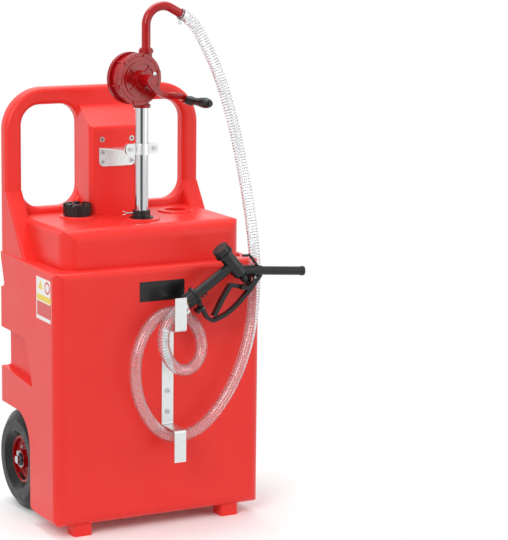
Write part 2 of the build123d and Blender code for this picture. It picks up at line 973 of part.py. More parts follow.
def make_front_cover():
    """The crank-side cover with its ring, four ribs and stuffing box."""
    low = cover_face - cover_depth
    shape = disc(drum_flange, low, cover_face)
    shape += disc(ring_radius, low, cover_face + ring_height)
    shape -= disc(ring_radius - ring_width, cover_face, cover_face + hub_depth)
    for turn in range(4):
        rib = block((0, ring_radius - ring_width / 2), (-cover_rib_width / 2, cover_rib_width / 2),
                    (low, cover_face + cover_rib_height))
        shape += Rot(0, 0, 45 + turn * 90) * rib
    hub = Pos(0, 0, low) * Cone(hub_radius, hub_tip_radius, hub_face - low, align=BASE)
    shape += hub
    shape -= disc(shaft_radius + running_gap, low - overrun, hub_face + overrun)
    shape -= disc(packing_radius, hub_face - packing_depth, hub_face + overrun)
    return screw_holes(shape)


def make_rear_cover():
    """The back cover with a blind shaft bearing."""
    high = -cover_face + cover_depth
    shape = disc(drum_flange, -cover_face, high)
    shape += disc(rear_boss_radius, -cover_face - rear_boss_depth, high)
    shape -= disc(shaft_radius + running_gap, -cover_face - rear_boss_depth / 2, high + overrun)
    return screw_holes(shape)


def make_cover_screws():
    """Through bolts with a head at each end."""
    screws = []
    for place in around(cover_screws, cover_screw_circle, 90 / cover_screws):
        screw = disc(cover_screw_radius, -cover_face, cover_face, place)
        for side in (-1, 1):
            low = cover_face if side > 0 else -cover_face - cover_screw_head_height
            screw += disc(cover_screw_head, low, low + cover_screw_head_height, place)
        screws.append(screw.solid())
    return Compound(screws)


def make_packing():
    high = hub_face - gland_neck
    low = hub_face - packing_depth
    return disc(packing_radius, low, high) - disc(shaft_radius + running_gap, 0, hub_face)


def make_gland():
    """The gland nut that presses the packing, with six flats."""
    nut = Pos(0, 0, hub_face) * extrude(RegularPolygon(gland_radius, 6), gland_depth)
    nut += disc(packing_radius - running_gap, hub_face - gland_neck, hub_face)
    nut = nut & disc(gland_radius - crank_gap / 2, 0, gland_face + overrun)
    return nut - disc(shaft_radius + running_gap, 0, gland_face + overrun)


def make_shaft():
    return disc(shaft_radius, -cover_face - rear_boss_depth / 2 + seat_gap, crank_face + crank_hub_length)


def make_rotor():
    """The slotted rotor keyed on the shaft."""
    high = half_drum - rotor_side_gap
    shape = disc(rotor_radius, -high, high) - disc(shaft_radius, -drum_depth, drum_depth)
    reach = rotor_radius + overrun
    slot = block((rotor_radius - vane_depth, reach),
                 (-vane_thickness / 2 - vane_slot_gap, vane_thickness / 2 + vane_slot_gap),
                 (-drum_depth, drum_depth))
    return shape - slot - Rot(0, 0, 180) * slot


def make_vanes():
    """Two vanes, pressed in to the narrow side of the chamber."""
    tip = chamber_radius - chamber_rise - vane_tip_gap
    high = half_drum - rotor_side_gap
    vane = block((rotor_radius - vane_depth + vane_slot_gap, tip),
                 (-vane_thickness / 2, vane_thickness / 2), (-high, high))
    vane &= disc(tip, -drum_depth, drum_depth)
    return Compound([vane.solid(), (Rot(0, 0, 180) * vane).solid()])


def crank_point(share):
    return (crank_reach[0] * share[0], crank_reach[1] * share[1])


def make_crank_arm():
    """The S-shaped arm with its hub and the boss that carries the grip."""
    line = Spline((0, 0), *[crank_point(share) for share in crank_knee_shares], crank_reach)
    arm = along_z(trace(line, crank_arm_width), crank_face, crank_face + crank_arm_depth)
    arm = arm + disc(crank_boss_radius, crank_face, crank_face + crank_arm_depth, crank_reach)
    arm += disc(crank_hub_radius, crank_face, crank_face + crank_hub_length)
    arm -= disc(shaft_radius, crank_face - overrun, crank_face + crank_hub_length + overrun)
    arm -= disc(grip_pin_radius, crank_face - overrun, grip_face, crank_reach)
    start, end = set_screw_line()
    return arm - rod(set_screw_radius, (0, 0, start.Z), end)


def set_screw_line():
    """The axis of the set screw that clamps the crank, on the hub's upper right."""
    height = crank_face + crank_hub_length - set_screw_head
    reach = shaft_radius + running_gap
    turn = math.radians(60)
    across = Vector(math.cos(turn), math.sin(turn), 0)
    start = across * reach + Vector(0, 0, height)
    return start, start + across * set_screw_length


def make_set_screw():
    start, end = set_screw_line()
    start = Vector(*start)
    across = (Vector(*end) - start).normalized()
    screw = rod(set_screw_radius - running_gap, start, end)
    return screw + rod(set_screw_head, Vector(*end) - across * set_screw_head_height, end)


def make_grip_pin():
    """The rivet pin through the arm that the grip turns on."""
    low = crank_face - grip_pin_head_height
    high = grip_face + grip_length
    pin = disc(grip_pin_radius, low, high + seat_gap, crank_reach)
    pin += disc(grip_pin_head_radius, low, crank_face, crank_reach)
    return pin + disc(grip_pin_head_radius, high + seat_gap, high + seat_gap + grip_pin_head_height,
                      crank_reach)


def make_crank_grip():
    """The contoured grip, a turned form that spins on its pin."""
    points = [(grip_radius * radius, grip_length * height) for height, radius in grip_radii_shares]
    edge = Spline(*points)
    profile = make_face([
        edge,
        Line(points[-1], (0, grip_length)),
        Line((0, grip_length), (0, 0)),
        Line((0, 0), points[0]),
    ])
    grip = revolve(Plane.XZ.location * profile, Axis.Z)
    grip -= Cylinder(grip_pin_radius + running_gap, 3 * grip_length)
    return Pos(*crank_reach, grip_face) * grip


# Delivery spout, in the plane of the tank's width through the pump's head

def spout_base():
    """The middle of the pump's head, in the drafting frame."""
    turn = math.radians(pump_turn)
    across = Vector(math.cos(turn), math.sin(turn), 0)
    place = Vector(*pump_place, pump_height) + across * (outlet_offset - inlet_offset)
    return Vector(place.X, place.Y, pump_height + head_reach)


def spout_points():
    """Base, start and end of the bend, shoulder and tip of the spigot."""
    base = spout_base()
    fall = math.radians(spout_fall)
    start = Vector(base.X, base.Y, spout_rise)
    centre = start + Vector(spout_bend, 0, 0)
    end = centre + Vector(math.sin(fall), 0, math.cos(fall)) * spout_bend
    along = Vector(math.cos(fall), 0, -math.sin(fall))
    shoulder = end + along * spout_run
    return base, start, end, shoulder, shoulder + along * spigot_length


def bent_bar(radius):
    """The bent run of the spout up to its shoulder, as a solid bar of one radius."""
    base, start, end, shoulder, tip = spout_points()
    line = Line(base, start)
    bend = ThreePointArc(start, spout_middle(), end)
    path = Wire([line.edge(), bend.edge(), Line(end, shoulder).edge()])
    return sweep(Plane(origin=base, z_dir=(0, 0, 1)).location * Circle(radius), path=path)


def spout_middle():
    """A point half way round the bend."""
    base, start, end, shoulder, tip = spout_points()
    centre = start + Vector(spout_bend, 0, 0)
    half = math.radians((90 + spout_fall) / 2)
    return centre + Vector(-math.cos(half), 0, math.sin(half)) * spout_bend


def make_spout():
    """The bent delivery tube with its foot and the spigot that the hose is pushed over."""
    base, start, end, shoulder, tip = spout_points()
    shape = bent_bar(spout_radius) + rod(spout_radius, shoulder, tip)
    shape += rod(spout_foot_radius, base, base + Vector(0, 0, spout_foot_height))
    along = (tip - shoulder).normalized() * overrun
    bore = bent_bar(spout_radius - spout_wall)
    bore += rod(spout_radius - spout_wall, shoulder - along, tip + along)
    return shape - bore


# Hose

def nozzle_frame():
    """The middle of the union nut, with z pointing away from the tank."""
    turn = math.radians(nozzle_turn)
    return Plane(origin=nut_place, x_dir=(math.cos(turn), -math.sin(turn), 0),
                 z_dir=(-math.sin(turn), -math.cos(turn), 0)).location


def nozzle_direction():
    """The direction of the nozzle's handle in the drafting frame."""
    turn = math.radians(nozzle_turn)
    slope = math.radians(grip_slope)
    return Vector(math.cos(slope) * math.cos(turn), -math.cos(slope) * math.sin(turn), math.sin(slope))


def hose_points():
    """The whole route, its two ends square to the spigot and to the hose tail."""
    base, start, end, shoulder, tip = spout_points()
    along = (tip - shoulder).normalized()
    nut = Vector(*nut_place) + nozzle_direction() * nut_offset
    first = [shoulder, shoulder + along * hose_end_run]
    last = [nut - nozzle_direction() * hose_end_run, nut]
    return first + [Vector(*place) for place in hose_route] + last


def bend_radii(points):
    """Each corner's radius, as large as its two runs allow."""
    radii = []
    for before, corner, after in zip(points, points[1:], points[2:]):
        turn = math.radians((corner - before).get_angle(after - corner))
        shorter = min((corner - before).length, (after - corner).length)
        radii.append(bend_share * shorter / math.tan(turn / 2))
    return radii


def least_gap(path):
    """The least distance between two parts of the hose's surface that aren't neighbours."""
    count = int(path.length / hose_bore) * 2
    points = [path.position_at(step / count) for step in range(count + 1)]
    apart = int(math.pi * hose_radius * 2 / (path.length / count))
    least = min((a - b).length for i, a in enumerate(points) for b in points[i + apart:])
    return least - 2 * hose_radius


def make_hose():
    """The clear delivery hose, one bored tube along its whole route."""
    points = hose_points()
    radii = bend_radii(points)
    path = FilletPolyline(*points, radius=radii)
    section = Circle(hose_radius) - Circle(hose_bore)
    tube = sweep(Plane(origin=points[0], z_dir=points[1] - points[0]).location * section, path=path)
    area = math.pi * (hose_radius ** 2 - hose_bore ** 2)
    print("hose length", round(path.length, 1), "least bend", round(min(radii), 1))
    print("hose radii", [round(radius) for radius in radii])
    print("hose least gap to itself", round(least_gap(path), 2))
    print("hose volume over section times length", round(tube.volume / (area * path.length), 4))
    return tube


def make_hose_clamp(place, along, down):
    """A worm-drive clamp: band, housing and screw, with its axis along the hose."""
    frame = Plane(origin=place, x_dir=down, z_dir=along).location
    outer = hose_radius + clamp_band_wall
    band = disc(outer, 0, clamp_band_width) - disc(hose_radius, -overrun, clamp_band_width + overrun)
    middle = clamp_band_width / 2
    housing = block((outer - clamp_band_wall / 2, outer + clamp_box_height),
                    (-clamp_box_length / 2, clamp_box_length / 2),
                    (middle - clamp_box_width / 2, middle + clamp_box_width / 2))
    housing -= disc(hose_radius, -overrun, clamp_band_width + overrun)
    height = outer + clamp_box_height / 2
    screw = rod(clamp_screw_radius, (height, -clamp_screw_length / 2, middle),
                (height, clamp_screw_length / 2, middle))
    return frame * (band + housing + screw)


def make_spout_clamp():
    base, start, end, shoulder, tip = spout_points()
    along = (tip - shoulder).normalized()
    return make_hose_clamp(shoulder + along * clamp_setback, along, (along.Z, 0, -along.X))


def make_nozzle_clamp():
    along = nozzle_direction() * -1
    nut = Vector(*nut_place) + nozzle_direction() * nut_offset
    return make_hose_clamp(nut + along * clamp_setback, along, Vector(0, 0, 1).cross(along).cross(along))


# Bracket between column and suction tube

def screw_places():
    """The four bracket screws as (x, z)."""
    return [(x, z)
            for x in (bracket_screws_left, bracket_screws_right)
            for z in (bracket_screws_top, bracket_screws_bottom)]


def half_band(side):
    """Half a pipe clamp with an ear at each end, behind (+1) or before (-1) the tube."""
    x, y = pump_place
    top = band_bottom + band_height
    outer = tube_radius + sheet
    shape = upright(outer, pump_place, band_bottom, top)
    split = ear_gap / 2
    ear = outline([
        (x - tube_radius - ear_reach, band_bottom, ear_corner_radius),
        (x + tube_radius + ear_reach, band_bottom, ear_corner_radius),
        (x + tube_radius + ear_reach, top, ear_corner_radius),
        (x - tube_radius - ear_reach, top, ear_corner_radius),
    ])
    low, high = (y + split, y + split + sheet) if side > 0 else (y - split - sheet, y - split)
    shape += along_y(ear, low, high)
    keep = (y + split, y + body_depth) if side > 0 else (y - body_depth, y - split)
    shape &= block((x - body_width, x + body_width), keep, (0, handle_height))
    shape -= upright(tube_radius, pump_place, 0, handle_height)
    for offset_x in (-clamp_bolt_place, clamp_bolt_place):
        middle = band_bottom + band_height / 2
        shape -= rod(clamp_bolt_radius, (x + offset_x, 0, middle), (x + offset_x, body_depth, middle))
    return shape


def make_pump_bracket():
    """The bent plate on the column with its shelf and the fixed half of the pipe clamp."""
    x, y = pump_place
    plate = outline([
        (plate_left, plate_top, 0),
        (plate_right, plate_top, 0),
        (plate_right, plate_bottom, plate_corner_radius),
        (plate_left, plate_bottom, plate_corner_radius),
    ])
    shape = along_y(plate, column_front - sheet, column_front)
    shelf = outline([
        (plate_left, column_front, 0),
        (plate_right, column_front, 0),
        (x + shelf_front_half, y + tube_radius, 0),
        (x - tube_radius - ear_reach / 2, y + ear_gap / 2 + sheet, 0),
        (x - tube_radius - ear_reach / 2, y + ear_reach, 0),
    ])
    shape += along_z(shelf, plate_top - sheet, plate_top)
    shape -= upright(tube_radius, pump_place, 0, handle_height)
    shape += half_band(1)
    for place_x, place_z in screw_places():
        shape -= rod(bracket_screw_radius, (place_x, column_front - 2 * sheet, place_z),
                     (place_x, column_front + sheet, place_z))
    return shape


def make_clamp_half():
    return half_band(-1)


def make_clamp_bolts():
    """Two bolts with heads before the clamp and nuts behind it."""
    x, y = pump_place
    middle = band_bottom + band_height / 2
    reach = ear_gap / 2 + sheet
    bolts = []
    for offset_x in (-clamp_bolt_place, clamp_bolt_place):
        front = Vector(x + offset_x, y - reach, middle)
        back = Vector(x + offset_x, y + reach, middle)
        head = Vector(0, clamp_bolt_head_height, 0)
        bolt = rod(clamp_bolt_radius, front, back + head)
        bolt += rod(clamp_bolt_head, front - head, front)
        bolt += rod(clamp_bolt_head, back, back + head)
        bolts.append(bolt.solid())
    return Compound(bolts)


def make_bracket_screws():
    """Pan-head screws that hold the plate to the column."""
    screws = []
    for x, z in screw_places():
        face = column_front - sheet
        screw = rod(bracket_screw_head, (x, face - bracket_screw_head_height, z), (x, face, z))
        screw += rod(bracket_screw_radius, (x, face, z), (x, column_front, z))
        screws.append(screw.solid())
    return Compound(screws)


def make_inserts():
    """Two spare threaded inserts above the plate."""
    inserts = []
    for x in (bracket_screws_left, bracket_screws_right):
        face = column_front
        lip = rod(insert_lip_radius, (x, face - insert_lip, insert_height), (x, face, insert_height))
        body = rod(insert_radius, (x, face, insert_height), (x, face + insert_length, insert_height))
        bore = rod(insert_bore, (x, face - overrun, insert_height), (x, face + body_depth, insert_height))
        inserts.append((lip + body - bore).solid())
    return Compound(inserts)


# Hose bracket

def make_hose_bracket():
    """One strip of sheet bent into a back plate and two hooks, seen from the side."""
    middle = sheet / 2
    line = FilletPolyline(
        (-hook_channel - sheet - middle, upper_lip_top),
        (-hook_channel - sheet - middle, upper_web - middle),
        (-middle, upper_web - middle),
        (-middle, lower_web + middle),
        (-hook_channel - sheet - middle, lower_web + middle),
        (-hook_channel - sheet - middle, lower_lip_bottom),
        radius=strip_bend_radius)
    shape = along_x(trace(line, sheet), strip_place - strip_width / 2, strip_place + strip_width / 2)
    for height in strip_screw_heights:
        shape -= rod(strip_screw_radius, (strip_place, -overrun, height), (strip_place, overrun, height))
    return shape


def make_strip_screws():
    screws = []
    for height in strip_screw_heights:
        head = (strip_place, -sheet - strip_screw_head_height, height)
        screw = rod(strip_screw_head, head, (strip_place, -sheet, height))
        screw += rod(strip_screw_radius, (strip_place, -sheet, height), (strip_place, 0, height))
        screws.append(screw.solid())
    return Compound(screws)


# Nozzle, drawn in its own frame with z = 0 its middle plane

def sloped(slope, distance, origin=(0, 0)):
    """A point at a distance from an origin along a slope."""
    turn = math.radians(slope)
    return (origin[0] + distance * math.cos(turn), origin[1] + distance * math.sin(turn), 0)


def grip_point(distance):
    return sloped(grip_slope, distance)


def barrel_point(distance):
    return sloped(barrel_slope, distance, barrel_start)


def outlet_point(distance):
    run = Vector(*outlet_tip) - Vector(*outlet_root)
    return Vector(*outlet_root) + run.normalized() * distance


outlet_length = math.dist(outlet_root, outlet_tip)


def ribbed_ring(radius, start, end, ribs, rib_radius):
    """A round bar with ribs along it, for fingers to turn."""
    bar = rod(radius, start, end)
    axis = Vector(*end) - Vector(*start)
    frame = Plane(origin=start, z_dir=axis).location
    for x, y in around(ribs, radius):
        bar += frame * (Pos(x, y, 0) * Cylinder(rib_radius, axis.length, align=BASE))
    return bar


def make_union_nut():
    """The ribbed union nut that draws the hose tail against the handle."""
    start = grip_point(nut_offset)
    end = grip_point(nut_offset + nut_length)
    nut = ribbed_ring(nut_radius - nut_rib_radius, start, end, nut_ribs, nut_rib_radius)
    nut -= rod(hose_tail_radius + running_gap, grip_point(nut_offset - overrun), end)
    return nut - rod(nut_bore, grip_point(nut_offset + overrun), grip_point(nut_length))


tail_flange = nut_offset + overrun + seat_gap
handle_start = tail_flange + sheet + seat_gap
collar_start = nut_offset + nut_length + seat_gap


def make_hose_tail():
    """The barbed tail inside the hose, with a flange caught by the nut."""
    base = tail_flange
    shape = rod(hose_tail_radius, grip_point(nut_offset - hose_tail_length), grip_point(base))
    shape += rod(nut_bore - running_gap, grip_point(base), grip_point(base + sheet))
    for barb in range(1, hose_tail_barbs + 1):
        place = nut_offset - barb * hose_tail_length / (hose_tail_barbs + 1)
        ring = rod(hose_tail_radius + overrun, grip_point(place), grip_point(place + sheet))
        ring -= rod(hose_tail_radius - hose_tail_barb_depth, grip_point(place - overrun),
                    grip_point(place + overrun))
        shape -= ring
    return shape - rod(hose_tail_bore, grip_point(nut_offset - hose_tail_length - overrun),
                       grip_point(base + 2 * sheet))


def nozzle_bores():
    """The way through the nozzle: handle, chambers, seat and outlet."""
    bores = rod(handle_bore, grip_point(handle_start - overrun), grip_point(handle_length))
    bores += rod(chamber_bore, barrel_point(valve_cap_wall), barrel_point(chamber_end))
    bores += rod(valve_seat_bore, barrel_point(chamber_end), barrel_point(chamber_end + valve_seat_length))
    bores += rod(handle_bore, barrel_point(chamber_end + valve_seat_length), barrel_point(lower_chamber_end))
    bores += rod(outlet_bore, outlet_point(chamber_bore), outlet_point(outlet_boss_length))
    bores += rod(stem_radius + running_gap, barrel_point(chamber_end), barrel_point(barrel_length + overrun))
    socket = outlet_boss_length - outlet_socket
    return bores + rod(outlet_radius, outlet_point(socket), outlet_point(outlet_boss_length + overrun))


def barrel_form():
    shape = rod(barrel_radius, barrel_point(barrel_top), barrel_point(barrel_taper_start))
    taper = Vector(*barrel_point(barrel_taper_end)) - Vector(*barrel_point(barrel_taper_start))
    cone = Cone(barrel_radius, barrel_tip_radius, taper.length, align=BASE)
    shape += Plane(origin=barrel_point(barrel_taper_start), z_dir=taper).location * cone
    return shape + rod(barrel_tip_radius, barrel_point(barrel_taper_end), barrel_point(barrel_length))


def ribbon(route, radii, width, low, high):
    """A bar of even width along a route in the nozzle's plane."""
    line = FilletPolyline(*route, radius=radii)
    return along_z(trace(line, width), low, high)


def make_nozzle_body():
    """The moulded body: handle, collar, valve barrel, outlet boss, hook and hold-open teeth."""
    shape = rod(handle_radius, grip_point(handle_start), grip_point(handle_length))
    shape += rod(nut_bore - running_gap, grip_point(handle_start), grip_point(collar_start))
    shape += rod(collar_radius, grip_point(collar_start), grip_point(collar_start + collar_length))
    shape += barrel_form()
    shape += rod(outlet_boss_radius, outlet_point(0), outlet_point(outlet_boss_length))
    shape += ribbon(hook_route, hook_radius, hook_width, -hook_half_depth, hook_half_depth)
    for tooth in range(hold_teeth):
        root = grip_point(hold_place + tooth * 2 * hold_tooth)
        below = sloped(grip_slope - 90, handle_radius, root[:2])
        frame = Plane(origin=below, x_dir=grip_point(1), z_dir=(0, 0, 1)).location
        shape += frame * Box(hold_tooth, 2 * hold_tooth, 2 * hook_half_depth)
    shape -= nozzle_bores()
    return shape - rod(trigger_pin_radius, (*trigger_pivot, -drum_depth), (*trigger_pivot, drum_depth))


def make_guard():
    """The bow round the trigger, from the outlet boss down and back to the collar."""
    bow = ribbon(guard_route, guard_radii, guard_width, -guard_half_depth, guard_half_depth)
    bow -= rod(outlet_boss_radius + running_gap, outlet_point(-overrun), outlet_point(outlet_length))
    bow -= rod(handle_radius + running_gap, grip_point(-overrun), grip_point(handle_length))
    bow -= rod(collar_radius + running_gap, grip_point(collar_start - running_gap),
               grip_point(collar_start + collar_length + running_gap))
    bow -= rod(nut_radius + seat_gap, grip_point(nut_offset), grip_point(collar_start))
    bow -= rod(latch_pin_radius, (*latch_pivot, -drum_depth), (*latch_pivot, drum_depth))
    return bow


def make_outlet():
    """The straight spout pushed into the boss, with a lip at its mouth."""
    start = outlet_boss_length - outlet_socket
    shape = rod(outlet_radius - running_gap, outlet_point(start), outlet_point(outlet_length))
    shape += rod(outlet_lip, outlet_point(outlet_length - outlet_lip_length), outlet_point(outlet_length))
    return shape - rod(outlet_bore, outlet_point(start - overrun), outlet_point(outlet_length + overrun))


def make_valve_cap():
    """The ribbed cap that closes the valve barrel."""
    shape = ribbed_ring(valve_cap_radius - valve_cap_rib_radius, barrel_point(0), barrel_point(barrel_top),
                        valve_cap_ribs, valve_cap_rib_radius)
    ring = barrel_point(barrel_top - seal_thickness)
    shape += rod(valve_cap_ring, barrel_point(barrel_top - seal_thickness - valve_cap_ring_height), ring)
    shape &= rod(valve_cap_ring, barrel_point(0), ring)
    return shape - rod(chamber_bore, barrel_point(valve_cap_wall), barrel_point(barrel_top + overrun))


def make_cap_seal():
    return pipe(barrel_radius + seal_thickness, chamber_bore, barrel_point(barrel_top - seal_thickness),
                barrel_point(barrel_top))


def make_valve():
    """The poppet and its stem, which the trigger pushes."""
    face = chamber_end - poppet_gap
    shape = rod(poppet_radius, barrel_point(face - poppet_thickness), barrel_point(face))
    return shape + rod(stem_radius, barrel_point(face - poppet_thickness * 3),
                       barrel_point(barrel_length + stem_reach))


def make_valve_spring():
    """A coil spring between the cap and the poppet."""
    top = valve_cap_wall + seat_gap
    bottom = chamber_end - poppet_gap - poppet_thickness - seat_gap
    length = bottom - top - 2 * spring_wire
    coil = Helix(length / spring_turns, length, spring_radius)
    wire = sweep(Plane(origin=coil @ 0, z_dir=coil % 0).location * Circle(spring_wire), path=coil)
    axis = Vector(*barrel_point(bottom)) - Vector(*barrel_point(top))
    return Plane(origin=barrel_point(top + spring_wire), z_dir=axis).location * wire


def make_trigger():
    """The bent lever: a forked head beside the boss, a knee and a long tail."""
    cheek_low = outlet_boss_radius + cheek_gap
    cheek_high = cheek_low + cheek_thickness
    head = ribbon(trigger_head_route, trigger_head_radii, trigger_width, -cheek_high, cheek_high)
    head += disc(trigger_width / 2, -cheek_high, cheek_high, trigger_pivot)
    slot = block((trigger_pivot[0] - body_width, trigger_pivot[0] + body_width),
                 (trigger_head_route[1][1] - cheek_gap, deck_height), (-cheek_low, cheek_low))
    shape = head - slot
    shape += ribbon(trigger_tail_route, trigger_tail_radii, trigger_width,
                    -trigger_half_depth, trigger_half_depth)
    relief = guard_half_depth + cheek_gap
    shape -= ribbon(guard_route, guard_radii, guard_width + 2 * cheek_gap, -relief, relief)
    return shape - rod(trigger_pin_radius + running_gap, (*trigger_pivot, -drum_depth),
                       (*trigger_pivot, drum_depth))


def make_trigger_pin():
    reach = outlet_boss_radius + cheek_gap + cheek_thickness + cheek_gap
    return disc(trigger_pin_radius, -reach, reach, trigger_pivot)


def make_latch():
    """The hold-open pawl under the collar end of the bow, hung on its pin."""
    end = sloped(latch_slope, latch_length, latch_pivot)
    frame = Plane(origin=(*latch_pivot, 0), x_dir=Vector(*end) - Vector(*latch_pivot), z_dir=(0, 0, 1))
    blade = Pos(latch_length / 2, 0, 0) * Box(latch_length, latch_width, 2 * latch_half_depth)
    shapes = []
    for side in (-1, 1):
        depth = side * (guard_half_depth + seat_gap + latch_half_depth)
        shapes.append(Pos(0, 0, depth) * (frame.location * blade))
    reach = guard_half_depth + seat_gap + 2 * latch_half_depth
    cheeks = shapes[0] + shapes[1]
    cheeks += disc(latch_width / 2, -reach, -guard_half_depth - seat_gap, latch_pivot)
    cheeks += disc(latch_width / 2, guard_half_depth + seat_gap, reach, latch_pivot)
    thumb = Pos(latch_length - latch_width / 2, 0, 0) * Box(latch_width, latch_width, 2 * reach)
    cheeks += frame.location * thumb
    return cheeks - rod(latch_pin_radius + running_gap, (*latch_pivot, -drum_depth),
                        (*latch_pivot, drum_depth))


def make_latch_pin():
    reach = guard_half_depth + seat_gap + 2 * latch_half_depth
    return disc(latch_pin_radius, -reach, reach, latch_pivot)


# Wheels, drawn as turned forms about the axle on the right side

tyre_middle = tyre_inner_face + tyre_width / 2
rim_radius = tyre_bead_radius - seat_gap


def turned(corners):
    """Revolve an outline of (distance along the axle, radius, fillet) about the axle."""
    face = Plane.XY.location * outline(corners)
    shape = revolve(face, Axis.X)
    return Pos(0, axle_setback, wheel_radius) * shape


def tyre_corners(skin):
    """The tyre's section: crown, rounded shoulders, full side walls and narrow beads."""
    half = tyre_width / 2 - skin
    bead = rim_half_width - seat_gap - skin
    crown = wheel_radius - skin
    foot = tyre_bead_radius + skin
    side = wheel_radius * tyre_side_share + skin
    shoulder = wheel_radius * tyre_shoulder_share
    flat = half * tyre_crown_share
    return [
        (tyre_middle - bead, foot, 0),
        (tyre_middle - bead, foot + tyre_bead_rise, tyre_bead_rise / 2),
        (tyre_middle - half, side, half / 3),
        (tyre_middle - half, shoulder, half / 3),
        (tyre_middle - flat, crown, half / 3),
        (tyre_middle + flat, crown, half / 3),
        (tyre_middle + half, shoulder, half / 3),
        (tyre_middle + half, side, half / 3),
        (tyre_middle + bead, foot + tyre_bead_rise, tyre_bead_rise / 2),
        (tyre_middle + bead, foot, 0),
    ]


def make_tyre():
    """The hollow tyre with circumferential tread grooves."""
    shape = turned(tyre_corners(0)) - turned(tyre_corners(tyre_wall))
    for groove in range(tread_grooves):
        place = tyre_middle + (groove - (tread_grooves - 1) / 2) * tyre_width / (2 * tread_grooves)
        ring = turned([
            (place - tread_groove_width / 2, wheel_radius - tread_groove_depth, 0),
            (place + tread_groove_width / 2, wheel_radius - tread_groove_depth, 0),
            (place + tread_groove_width / 2, wheel_radius + overrun, 0),
            (place - tread_groove_width / 2, wheel_radius + overrun, 0),
        ])
        shape -= ring
    bead = rim_half_width - seat_gap - tyre_wall
    slot = turned([
        (tyre_middle - bead, tyre_bead_radius - overrun, 0),
        (tyre_middle + bead, tyre_bead_radius - overrun, 0),
        (tyre_middle + bead, tyre_bead_radius + 2 * tyre_wall, 0),
        (tyre_middle - bead, tyre_bead_radius + 2 * tyre_wall, 0),
    ])
    return shape - slot


def make_inner_tube():
    """The inflated tube inside the tyre."""
    skin = tyre_wall + tube_gap
    return turned(tyre_corners(skin)) - turned(tyre_corners(skin + tube_gap * overrun))


def make_rim():
    """The pressed steel rim: flanged well, dished disc and hub tube."""
    half = rim_half_width
    well = turned([
        (tyre_middle - half - rim_wall, rim_radius - rim_wall, 0),
        (tyre_middle + half + rim_wall, rim_radius - rim_wall, 0),
        (tyre_middle + half + rim_wall, rim_flange_radius, 0),
        (tyre_middle + half, rim_flange_radius, 0),
        (tyre_middle + half, rim_radius, 0),
        (tyre_middle - half, rim_radius, 0),
        (tyre_middle - half, rim_flange_radius, 0),
        (tyre_middle - half - rim_wall, rim_flange_radius, 0),
    ])
    plate = turned([
        (tyre_middle - rim_wall, hub_tube_radius - rim_wall, 0),
        (tyre_middle + rim_wall, hub_tube_radius - rim_wall, 0),
        (tyre_middle + rim_wall, rim_disc_radius, rim_wall / 2),
        (tyre_middle + half / 2, rim_radius - rim_wall / 2, 0),
        (tyre_middle + half / 2 - 2 * rim_wall, rim_radius - rim_wall / 2, 0),
        (tyre_middle - rim_wall, rim_disc_radius, rim_wall / 2),
    ])
    axis = Pos(tyre_middle - hub_tube_length / 2, axle_setback, wheel_radius) * Rot(0, 90, 0)
    hub = axis * (Cylinder(hub_tube_radius, hub_tube_length, align=BASE))
    shape = well + plate + hub
    shape -= axis * Cylinder(axle_radius + tube_wall, hub_tube_length, align=BASE)
    for start in (0, hub_tube_length - bearing_width):
        shape -= axis * (Pos(0, 0, start) * Cylinder(bearing_radius, bearing_width, align=BASE))
    return shape


def make_bearings():
    """Two sealed bearings, one pressed into each end of the hub tube."""
    bearings = []
    for side in (-1, 1):
        face = tyre_middle + side * hub_tube_length / 2
        back = face - side * bearing_width
        ring = pipe(bearing_radius, axle_radius + running_gap, (back, axle_setback, wheel_radius),
                    (face, axle_setback, wheel_radius))
        seal = pipe(bearing_seal_radius + bearing_seal_depth, axle_radius + sheet,
                    (face - side * bearing_seal_depth, axle_setback, wheel_radius),
                    (face + side * bearing_seal_depth, axle_setback, wheel_radius))
        bearings.append((ring - seal).solid())
    return Compound(bearings)


def make_rim_screws():
    """The screws that close the two rim halves, round the hub."""
    screws = []
    for y, z in around(rim_screws, rim_screw_circle, 45):
        middle = Vector(tyre_middle, axle_setback + y, wheel_radius + z)
        reach = Vector(rim_wall, 0, 0)
        head = Vector(rim_screw_head_height, 0, 0)
        pieces = rod(rim_screw_head, middle + reach, middle + reach + head)
        pieces += rod(rim_screw_head, middle - reach - head, middle - reach)
        screws += pieces.solids()
    return Compound(screws)


def make_valve_stem():
    """The tyre valve, leaning out through the rim."""
    tilt = math.radians(valve_tilt)
    place = tyre_middle + rim_half_width - valve_radius
    root = Vector(place, axle_setback, wheel_radius - rim_radius + rim_wall)
    root = root + Vector(0, 0, seat_gap + valve_radius * math.sin(tilt))
    return rod(valve_radius, root, root + Vector(math.sin(tilt), 0, math.cos(tilt)) * valve_length)


hub_end = tyre_middle + hub_tube_length / 2


def make_axle():
    """The axle rod across the tank, drilled for a split pin at each end."""
    end = hub_end + seat_gap + washer_thickness + axle_overhang
    shape = rod(axle_radius, (-end, axle_setback, wheel_radius), (end, axle_setback, wheel_radius))
    for side in (-1, 1):
        place = side * pin_place()
        shape -= rod(pin_radius + running_gap, (place, axle_setback, 0), (place, axle_setback, wheel_diameter))
    return shape


def pin_place():
    return hub_end + seat_gap + washer_thickness + axle_overhang / 2


def make_washers():
    """A washer outside each wheel and a spacer sleeve between wheel and leg."""
    rings = []
    for side in (-1, 1):
        outer = side * (hub_end + seat_gap)
        rings.append(pipe(washer_radius, axle_radius, (outer, axle_setback, wheel_radius),
                          (outer + side * washer_thickness, axle_setback, wheel_radius)))
        inner = side * (hub_end - hub_tube_length - seat_gap)
        rings.append(pipe(axle_radius + sheet, axle_radius, (inner, axle_setback, wheel_radius),
                          (side * carrier_half_width, axle_setback, wheel_radius)))
    return Compound([ring.solid() for ring in rings])


